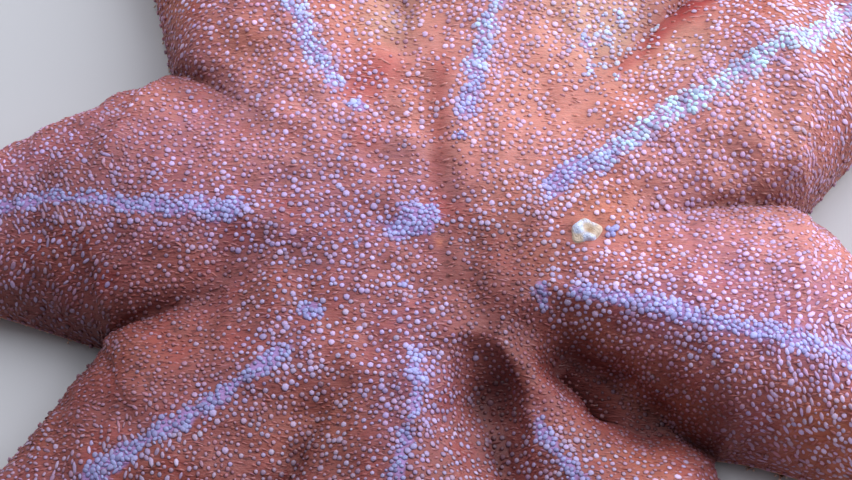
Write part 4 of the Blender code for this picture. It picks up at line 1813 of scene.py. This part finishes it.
@dataclass
class Underside:
    """What the underside carries: spinelet rosettes, the furrows' combs and the tube feet."""

    skin: Skin
    finish: OralFinish = OralFinish()
    foot_finish: TubeFootFinish = TubeFootFinish()
    rosette_gap: float = 2.0 * MM
    rosette_radius: float = 0.72 * MM
    rosette_height: float = 0.9 * MM
    rosette: TuftForm = TuftForm(5, 1, 4, 1.0, 0.24, 0.35, 0.55, 0.2, 0.12)
    furrow_clearance: float = 1.0 * MM
    mouth_clearance: float = 7.6 * MM
    comb_pitch: float = 1.3 * MM
    comb_length: float = 1.3 * MM
    comb_lateral: float = 1.25  # in half-widths of the furrow
    foot_pitch: float = 1.35 * MM
    foot_radius: float = 0.40 * MM
    foot_length: float = 3.5 * MM
    foot_lateral: float = 0.42  # in half-widths of the furrow
    foot_sides: int = 7
    foot_rings: tuple[Triple, ...] = (
        (0.80, -0.05, 0.0), (0.92, 0.25, 0.3), (0.70, 0.55, 0.6), (0.74, 0.82, 0.8),
        (1.05, 0.90, 0.95), (1.0, 0.98, 1.0), (0.0, 0.93, 1.0),
    )

    def __post_init__(self) -> None:
        """Starts the random draws and makes the finish."""
        self.rng = np.random.default_rng(40)
        self.material = self.finish.material()

    @staticmethod
    def drop(roots: Roots, reach: float) -> Array:
        """How far down each may stand: a length, or less where the floor is nearer."""
        room = np.minimum(reach, np.maximum(roots.points[:, 2] - 2 * FLOOR_GAP, 0.1 * MM))
        return room[:, None]

    @staticmethod
    def hung(turn: Array, radius: Array, down: Array) -> Array:
        """What the x, y and z of shapes that hang down become.

        Args:
            turn: how far round each is turned, in radians.
            radius: their radii.
            down: their ways down, as long as each is high.

        Returns:
            Three rows for each shape.
        """
        first = polar(turn, 1, 0 * turn) * radius
        second = np.stack([np.sin(turn), -np.cos(turn), 0 * turn], axis=1) * radius
        return np.stack([first, second, down], axis=1)

    def along_furrows(self, lateral: float, pitch: float, phase: float) -> Roots:
        """Places along both sides of every furrow.

        Args:
            lateral: how far from the furrow's middle they lie, as a share of its half-width.
            pitch: how far apart they are.
            phase: where the first one is, as a share of the pitch.

        Returns:
            The places.
        """
        places = []
        for sheet, form in zip(self.skin.bottoms, self.skin.forms):
            outward = sheet.outward[:, 0]
            at = np.arange(outward[2] + phase * pitch, outward[-1] - 1.2 * MM, pitch)
            row = np.interp(at, outward, np.arange(len(outward)))
            reach = np.interp(at, outward, sheet.reach[:, 0])
            half, _ = form.furrow(reach, np.full(len(reach), np.inf))
            grid = sheet.lateral[np.round(row).astype(int)]
            columns = np.arange(grid.shape[1])
            for away in (-lateral * half, lateral * half):
                column = [np.interp(one, level, columns) for one, level in zip(away, grid)]
                places.append(sheet.at(row, np.array(column)))
        return Roots.join(places)

    def run(self, roots: Roots) -> Array:
        """The way the ray runs at each place, level."""
        ways = np.zeros_like(roots.points)
        for number, form in enumerate(self.skin.forms):
            mine = roots.ray == number
            ways[mine, :2] = form.tangent(roots.outward[mine])
        return ways

    def build(self) -> None:
        """Builds the underside's pieces."""
        self.build_feet()
        self.build_combs()
        self.build_rosettes()

    def build_rosettes(self) -> None:
        """Builds the rosettes between the furrows and the margins."""
        strewn = Roots.join([sheet.strewn(5000, self.rng) for sheet in self.skin.bottoms])
        clear = np.abs(strewn.lateral) > FURROW_HALF_WIDTH + self.furrow_clearance
        clear &= np.abs(strewn.side) < 0.93
        clear &= strewn.normals[:, 2] < -0.5
        clear &= np.linalg.norm(strewn.points[:, :2], axis=1) > self.mouth_clearance
        strewn = strewn.take(self.rng.permutation(np.flatnonzero(clear)))
        gaps = np.full(len(strewn), self.rosette_gap)
        roots = strewn.take(Taken(self.rosette_gap).settle(strewn.points, gaps))
        down = np.array([0.0, 0.0, -1.0]) * self.drop(roots, self.rosette_height)
        turn = self.rng.uniform(0, FULL_TURN, size=len(roots))
        radius = self.rosette_radius * self.rng.uniform(0.8, 1.2, size=len(roots))[:, None]
        axes = self.hung(turn, radius, down)
        Planting(self.rosette.shapes(4, 6), roots, axes, {}, self.material).plant("oral_rosettes")

    def build_combs(self) -> None:
        """Builds the combs that fence the furrows: three spines each."""
        roots = self.along_furrows(self.comb_lateral, self.comb_pitch, 0.2)
        spine = Shape.turned([(1.0, 0.0, 0.1), (0.9, 0.7, 0.7), (0.0, 1.0, 1.0)], 4)
        rng = np.random.default_rng(41)
        fans = []
        for _ in range(3):
            spines = []
            for place in (-0.32, 0.0, 0.32):
                foot = np.array([place, 0.0, -0.1])
                tip = np.array([1.5 * place, 0.0, 1.0 + 0.08 * rng.normal()])
                spines.append(spine.aimed(foot, tip, 0.15, rng.uniform(0, ABOUT_A_TURN)))
            fans.append(Shape.join(spines))
        run = self.run(roots)
        inward = -np.sign(roots.lateral)[:, None]
        lean = inward * np.cross(roots.normals, run) * 0.6 + np.array([0.0, 0.0, -1.0])
        up = lean * self.drop(roots, self.comb_length)
        first = run * self.comb_length
        second = unit(np.cross(up, first)) * self.comb_length
        axes = np.stack([first, second, up], axis=1)
        Planting(fans, roots, axes, {}, self.material).plant("furrow_combs")

    def build_feet(self) -> None:
        """Builds the tube feet, in two rows down each furrow."""
        roots = self.along_furrows(self.foot_lateral, self.foot_pitch, 0.5)
        lean = self.rng.normal(scale=0.12, size=(len(roots), 2))
        down = np.column_stack([lean, -np.ones(len(roots))]) * self.drop(roots, self.foot_length)
        turn = self.rng.uniform(0, FULL_TURN, size=len(roots))
        radius = self.foot_radius * (1 - 0.45 * rise(roots.reach, 0.4, 1.6))
        foot = Shape.turned(self.foot_rings, self.foot_sides)
        axes = self.hung(turn, radius[:, None], down)
        Planting([foot], roots, axes, {}, self.foot_finish.material()).plant("tube_feet")


@dataclass
class Jaws:
    """The jaws round the mouth, one wedge between each two furrows, with their spines."""

    finish: JawFinish = JawFinish()
    outer: float = 6.0 * MM
    inner: float = 2.6 * MM
    half_width: float = 1.15 * MM
    roof: float = 3.0 * MM
    keel: float = 0.9 * MM
    spine_length: float = 1.3 * MM
    spine_radius: float = 0.20 * MM
    stations: int = 9
    sides: int = 12

    def out(self, share: float) -> float:
        """How far from the mouth's middle a share of the way in along a jaw is."""
        return self.outer + (self.inner - self.outer) * share

    def wedge(self, azimuth: float) -> Shape:
        """Makes one jaw: a keeled wedge that narrows towards the mouth.

        Args:
            azimuth: which way it lies.

        Returns:
            The jaw.
        """
        turns = np.arange(self.sides) * FULL_TURN / self.sides
        rings, along = [], []
        for share in np.linspace(0, 1, self.stations):
            girth = math.sqrt(max(0.02, 1 - abs(2 * share - 1) ** 5))
            half = self.half_width * (1 - 0.5 * share) * girth
            low = self.keel + 0.5 * MM * (1 - girth)
            middle, tall = (self.roof + low) / 2, (self.roof - low) / 2 * (0.5 + 0.5 * girth)
            ring = [0 * turns + self.out(share), half * np.cos(turns), middle + tall * np.sin(turns)]
            rings.append(np.stack(ring, axis=1))
            along.append(np.full(self.sides, 0.55 + 0.4 * share))
        points = joined([*rings, [rings[0].mean(axis=0)], [rings[-1].mean(axis=0)]])
        count = self.stations * self.sides
        grid = ringed(np.arange(count).reshape(self.stations, self.sides))
        ends = [fan(grid[0], count, False), fan(grid[-1], count + 1, True)]
        triangles = joined([quads(grid, True), *ends])
        (cos, sin), (x, y, z) = heading(azimuth), points.T
        spun = np.column_stack([x * cos - y * sin, x * sin + y * cos, z])
        return Shape(spun, triangles, joined([*along, [0.5, 0.9]]))

    def spines(self, azimuth: float, rng: np.random.Generator) -> list[Shape]:
        """Makes the blunt spines that a jaw bears: a fan over the mouth and pairs below.

        Args:
            azimuth: which way the jaw lies.
            rng: the source of the random draws.

        Returns:
            The spines.
        """
        spine = Shape.turned([(1.0, 0.0, 0.5), (0.85, 0.75, 0.9), (0.0, 1.0, 1.0)], 6)
        out = np.append(heading(azimuth), 0.0)
        side = np.array([-out[1], out[0], 0.0])
        made = []
        for place in (-1.0, -0.5, 0.0, 0.5, 1.0):
            foot = out * (self.inner + 0.25 * MM) + side * place * 0.45 * MM
            foot = foot + [0, 0, self.keel + 0.55 * MM]
            way = -out + 0.55 * place * side + np.array([0, 0, -0.25 + 0.05 * rng.normal()])
            tip = foot + unit(way) * self.spine_length * (1 - 0.2 * abs(place))
            made.append(spine.aimed(foot, tip, self.spine_radius, 0.0))
        for share in (0.25, 0.5, 0.75):
            for place in (-0.5, 0.5):
                foot = out * self.out(share) + side * place * self.half_width
                foot = foot + [0, 0, self.keel + 0.3 * MM]
                tip = foot + side * place * 0.5 * MM - out * 0.2 * MM - [0, 0, 0.95 * MM]
                made.append(spine.aimed(foot, tip, 0.8 * self.spine_radius, 0.0))
        return made

    def build(self) -> None:
        """Builds all the jaws as one piece."""
        rng = np.random.default_rng(50)
        parts = []
        for cleft in CLEFTS:
            azimuth = cleft.azimuth + cleft.twist
            parts += [self.wedge(azimuth), *self.spines(azimuth, rng)]
        jaws = Shape.join(parts)
        points, marks, material = jaws.points.copy(), {"along": jaws.along}, self.finish.material()
        points[:, 2] = np.maximum(points[:, 2], 0.05 * MM)
        uv = (0.5 + UNWRAP_FLAT * points[:, :2] + 0.5 * points[:, 2:])[jaws.triangles]
        piece = new_piece("jaws", points, jaws.triangles, material, marks, uv)
        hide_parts("mouth")


@dataclass
class SievePlate:
    """The sieve plate: a grooved cushion of several lobes on the disc."""

    finish: PlateFinish = PlateFinish()
    radius: float = 1.95 * MM
    proud: float = 0.60 * MM
    seat: float = 0.10 * MM
    hem: float = 0.35 * MM
    # Each lobe's x, y and radius in millimetres, and its height as a share
    lobes: tuple[tuple[float, float, float, float], ...] = (
        (-0.95, 0.75, 0.62, 1.0), (-0.85, -0.05, 0.55, 0.9), (0.30, -1.05, 0.62, 1.0),
        (1.05, -1.25, 0.42, 0.8), (1.15, 0.85, 0.50, 0.45), (0.25, 1.25, 0.50, 0.5),
    )
    stain: Triple = (0.55, -0.05, 0.45)
    # The outline's waves: how many go round it, how high they are, and where they start
    waves: tuple[tuple[int, float, float], ...] = ((2, 0.10, 0.6), (3, 0.08, 2.0), (5, 0.07, 0.0))
    grooves: int = 21
    rings: int = 30
    spokes: int = 132
    unwrap: float = 200.0  # map widths to a metre

    @staticmethod
    def bump(x: Array, y: Array, place: Sequence[float]) -> Array:
        """A round rise at a place: its x, y and radius, in millimetres."""
        return np.exp(-((x / MM - place[0]) ** 2 + (y / MM - place[1]) ** 2) / place[2] ** 2)

    def build(self) -> None:
        """Builds the plate where the solids have it."""
        low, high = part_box("sieve_plate")
        middle = np.array((low + high) / 2)[:2]
        share = np.linspace(0.04, 1.0, self.rings)[:, None]
        turn = (np.arange(self.spokes) * FULL_TURN / self.spokes)[None, :]
        wavy = sum(tall * np.sin(number * turn + start) for number, tall, start in self.waves)
        bend = turn + 0.35 * np.sin(3 * share * math.pi + 2 * np.sin(turn))
        groove = 0.5 + 0.5 * np.cos(self.grooves * bend)
        groove = groove * rise(share, 0.15, 0.2) * (1 - rise(share, 0.86, 0.14))
        flat = polar(turn, self.radius * share * (0.9 + wavy * share))
        x, y = flat[..., 0], flat[..., 1]
        lobe = np.clip(sum(lobe[3] * self.bump(x, y, lobe) for lobe in self.lobes), 0, 1.1)
        edge = clamp(1 - share**3)
        height = self.proud * ((0.35 + 0.75 * lobe) * edge - 0.12 * groove)
        height = height - self.hem * rise(share, 0.8, 0.2)
        base = DISC_HEIGHT - COAT_DEPTH + self.seat
        grid = joined([flat + middle, (base + height)[..., None]], axis=2)
        points = joined([grid.reshape(-1, 3), [[*middle, height[0].mean() + base]]])
        count = self.rings * self.spokes
        ids = ringed(np.arange(count).reshape(self.rings, self.spokes))
        triangles = joined([quads(ids, True), fan(ids[0], count, False)])
        uv = (0.5 + (points[:, :2] - middle) * self.unwrap)[triangles]
        marks = {"groove": groove, "lobe": lobe, "stain": self.bump(x, y, self.stain)}
        marks = {name: np.append(values, values[0].mean()) for name, values in marks.items()}
        material = self.finish.material()
        piece = new_piece("sieve_plate_lobes", points, triangles, material, marks, uv)
        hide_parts("sieve_plate")


@dataclass
class Eyespots:
    """The cushion of red eye cups at each ray's tip, on a stalk that runs into the skin."""

    skin: Skin
    finish: EyeFinish = EyeFinish()
    cups: int = 26
    cup_rings: tuple[Triple, ...] = ((0.75, 0, 0), (1, 0.35, 0.3), (0.75, 0.78, 0.8), (0, 1, 1))
    cup_radius: float = 0.24 * MM
    swell: float = 0.9
    coverage: float = 1.25  # how far down the cushion its cups go, in radii
    cup_foot: float = 0.72
    cup_tip: float = 1.05
    stalk_rings: tuple[Triple, ...] = (
        (1.3, 0, -1), (1.4, 0.6, -1), (1.25, 0.76, -0.8), (1, 0.9, -0.4), (0.85, 1, 0), (0, 1.1, 0),
    )
    stalk_radius: float = 0.90 * MM
    stalk_depth: int = 12  # how many of the skin's rows back from the tip the stalk is rooted
    unwrap: float = 150.0  # map widths to a metre

    def build(self) -> None:
        """Builds a cushion for each ray, where the solids have it."""
        material = self.finish.material()
        cup, stalk = Shape.turned(self.cup_rings, 6), Shape.turned(self.stalk_rings, 14)
        for number, sheet in enumerate(self.skin.tops, start=1):
            low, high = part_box(f"eyespot_{number}")
            middle = np.array((low + high) / 2)
            radius = (high.x - low.x) / 2
            root = sheet.points[-self.stalk_depth].mean(axis=0)
            root[2] = middle[2]
            parts = [self.ball(middle, radius * self.swell)]
            parts.append(stalk.aimed(root, middle, self.stalk_radius, 0.0))
            for k in range(self.cups):
                height = 1 - (k + 0.5) / self.cups * self.coverage
                turn = k * math.pi * (3 - math.sqrt(5))
                level = math.sqrt(max(0.0, 1 - height * height))
                way = np.array([level * math.cos(turn), level * math.sin(turn), height])
                foot = middle + way * radius * self.cup_foot
                tip = middle + way * radius * self.cup_tip
                parts.append(cup.aimed(foot, tip, self.cup_radius, 0.0))
            whole = Shape.join(parts)
            uv = ((whole.points[:, :2] - middle[:2]) * self.unwrap + 0.5)[whole.triangles]
            name, marks = f"eye_cushion_{number}", {"along": whole.along}
            piece = new_piece(name, whole.points, whole.triangles, material, marks, uv)
            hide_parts(f"eyespot_{number}")

    @staticmethod
    def ball(middle: Array, radius: float) -> Shape:
        """A small ball."""
        turns = math.pi * np.linspace(0.08, 0.92, 7)
        rings = [(math.sin(turn), -math.cos(turn), 0.0) for turn in turns]
        shape = Shape.turned([*rings, (0.0, 1.0, 0.0)], 12)
        return replace(shape, points=middle + radius * shape.points)


@dataclass(frozen=True)
class Lamp:
    """A square soft light: its name, where it hangs, its width, its power and its colour."""

    name: str
    place: Triple
    size: float
    watts: float
    colour: Colour

    def hang(self) -> None:
        """Adds the light, which faces the body."""
        data = bpy.data.lights.new(self.name, "AREA")
        data.size = self.size
        data.energy = self.watts
        data.color = self.colour
        lamp = bpy.data.objects.new(self.name, data)
        lamp.location = self.place
        lamp.rotation_euler = (-Vector(self.place)).to_track_quat("-Z", "Y").to_euler()
        bpy.context.scene.collection.objects.link(lamp)


@dataclass
class Studio:
    """A pale floor, soft lights and the camera."""

    target: Triple = (-1.6 * MM, 0.0, 14.5 * MM)
    elevation: float = 63.0
    distance: float = 230 * MM
    view_width: float = 98.8 * MM
    sensor_width: float = 36.0  # millimetres
    floor_width: float = 6.0
    floor_colour: Colour = (0.52, 0.52, 0.53)
    floor_roughness: float = 0.8
    world_colour: Colour = (0.86, 0.90, 1.0)
    world_strength: float = 0.22
    lamps: tuple[Lamp, ...] = (
        Lamp("key", (0.48, 0.30, 0.42), 0.80, 9.2, (0.90, 0.92, 1.0)),
        Lamp("fill", (-0.40, 0.60, 0.80), 1.0, 6.5, (0.88, 0.92, 1.0)),
    )

    def floor(self) -> None:
        """Lays the floor."""
        half = self.floor_width / 2
        corners = [(-half, -half, 0.0), (half, -half, 0.0), (half, half, 0.0), (-half, half, 0.0)]
        data = bpy.data.meshes.new("floor")
        data.from_pydata(corners, [], [(0, 1, 2, 3)])
        finish = Bench("floor").finish(Base_Color=self.floor_colour, Roughness=self.floor_roughness)
        data.materials.append(finish)
        floor = bpy.data.objects.new("floor", data)
        bpy.context.scene.collection.objects.link(floor)

    def camera(self) -> None:
        """Sets up the camera."""
        data = bpy.data.cameras.new("camera")
        data.sensor_width = self.sensor_width
        data.lens = data.sensor_width * self.distance / self.view_width
        data.clip_start = 0.01
        camera = bpy.data.objects.new("camera", data)
        tilt = math.radians(self.elevation)
        back = self.distance * Vector((0.0, -math.cos(tilt), math.sin(tilt)))
        camera.location = Vector(self.target) + back
        camera.rotation_euler = (-back).to_track_quat("-Z", "Y").to_euler()
        bpy.context.scene.collection.objects.link(camera)
        bpy.context.scene.camera = camera

    def world(self) -> None:
        """Sets a pale even surround."""
        world = bpy.data.worlds.new("studio")
        world.use_nodes = True
        background = world.node_tree.nodes["Background"]
        background.inputs["Color"].default_value = (*self.world_colour, 1.0)
        background.inputs["Strength"].default_value = self.world_strength
        bpy.context.scene.world = world

    def build(self) -> None:
        """Sets up the whole studio."""
        self.floor()
        self.world()
        for lamp in self.lamps:
            lamp.hang()
        self.camera()
        bpy.context.scene.view_settings.view_transform = "Standard"


def main() -> None:
    """Builds the sun star and its studio."""
    logging.basicConfig(level=logging.INFO, format="%(name)s: %(message)s")
    skin = Skin(Markings())
    skin.build()
    coat = Coat(skin, skin.markings)
    Fringe(coat).build()
    coat.build_tufts()
    coat.build_gills()
    Underside(skin).build()
    Jaws().build()
    SievePlate().build()
    Eyespots(skin).build()
    Studio().build()


if __name__ == "__main__":
    main()
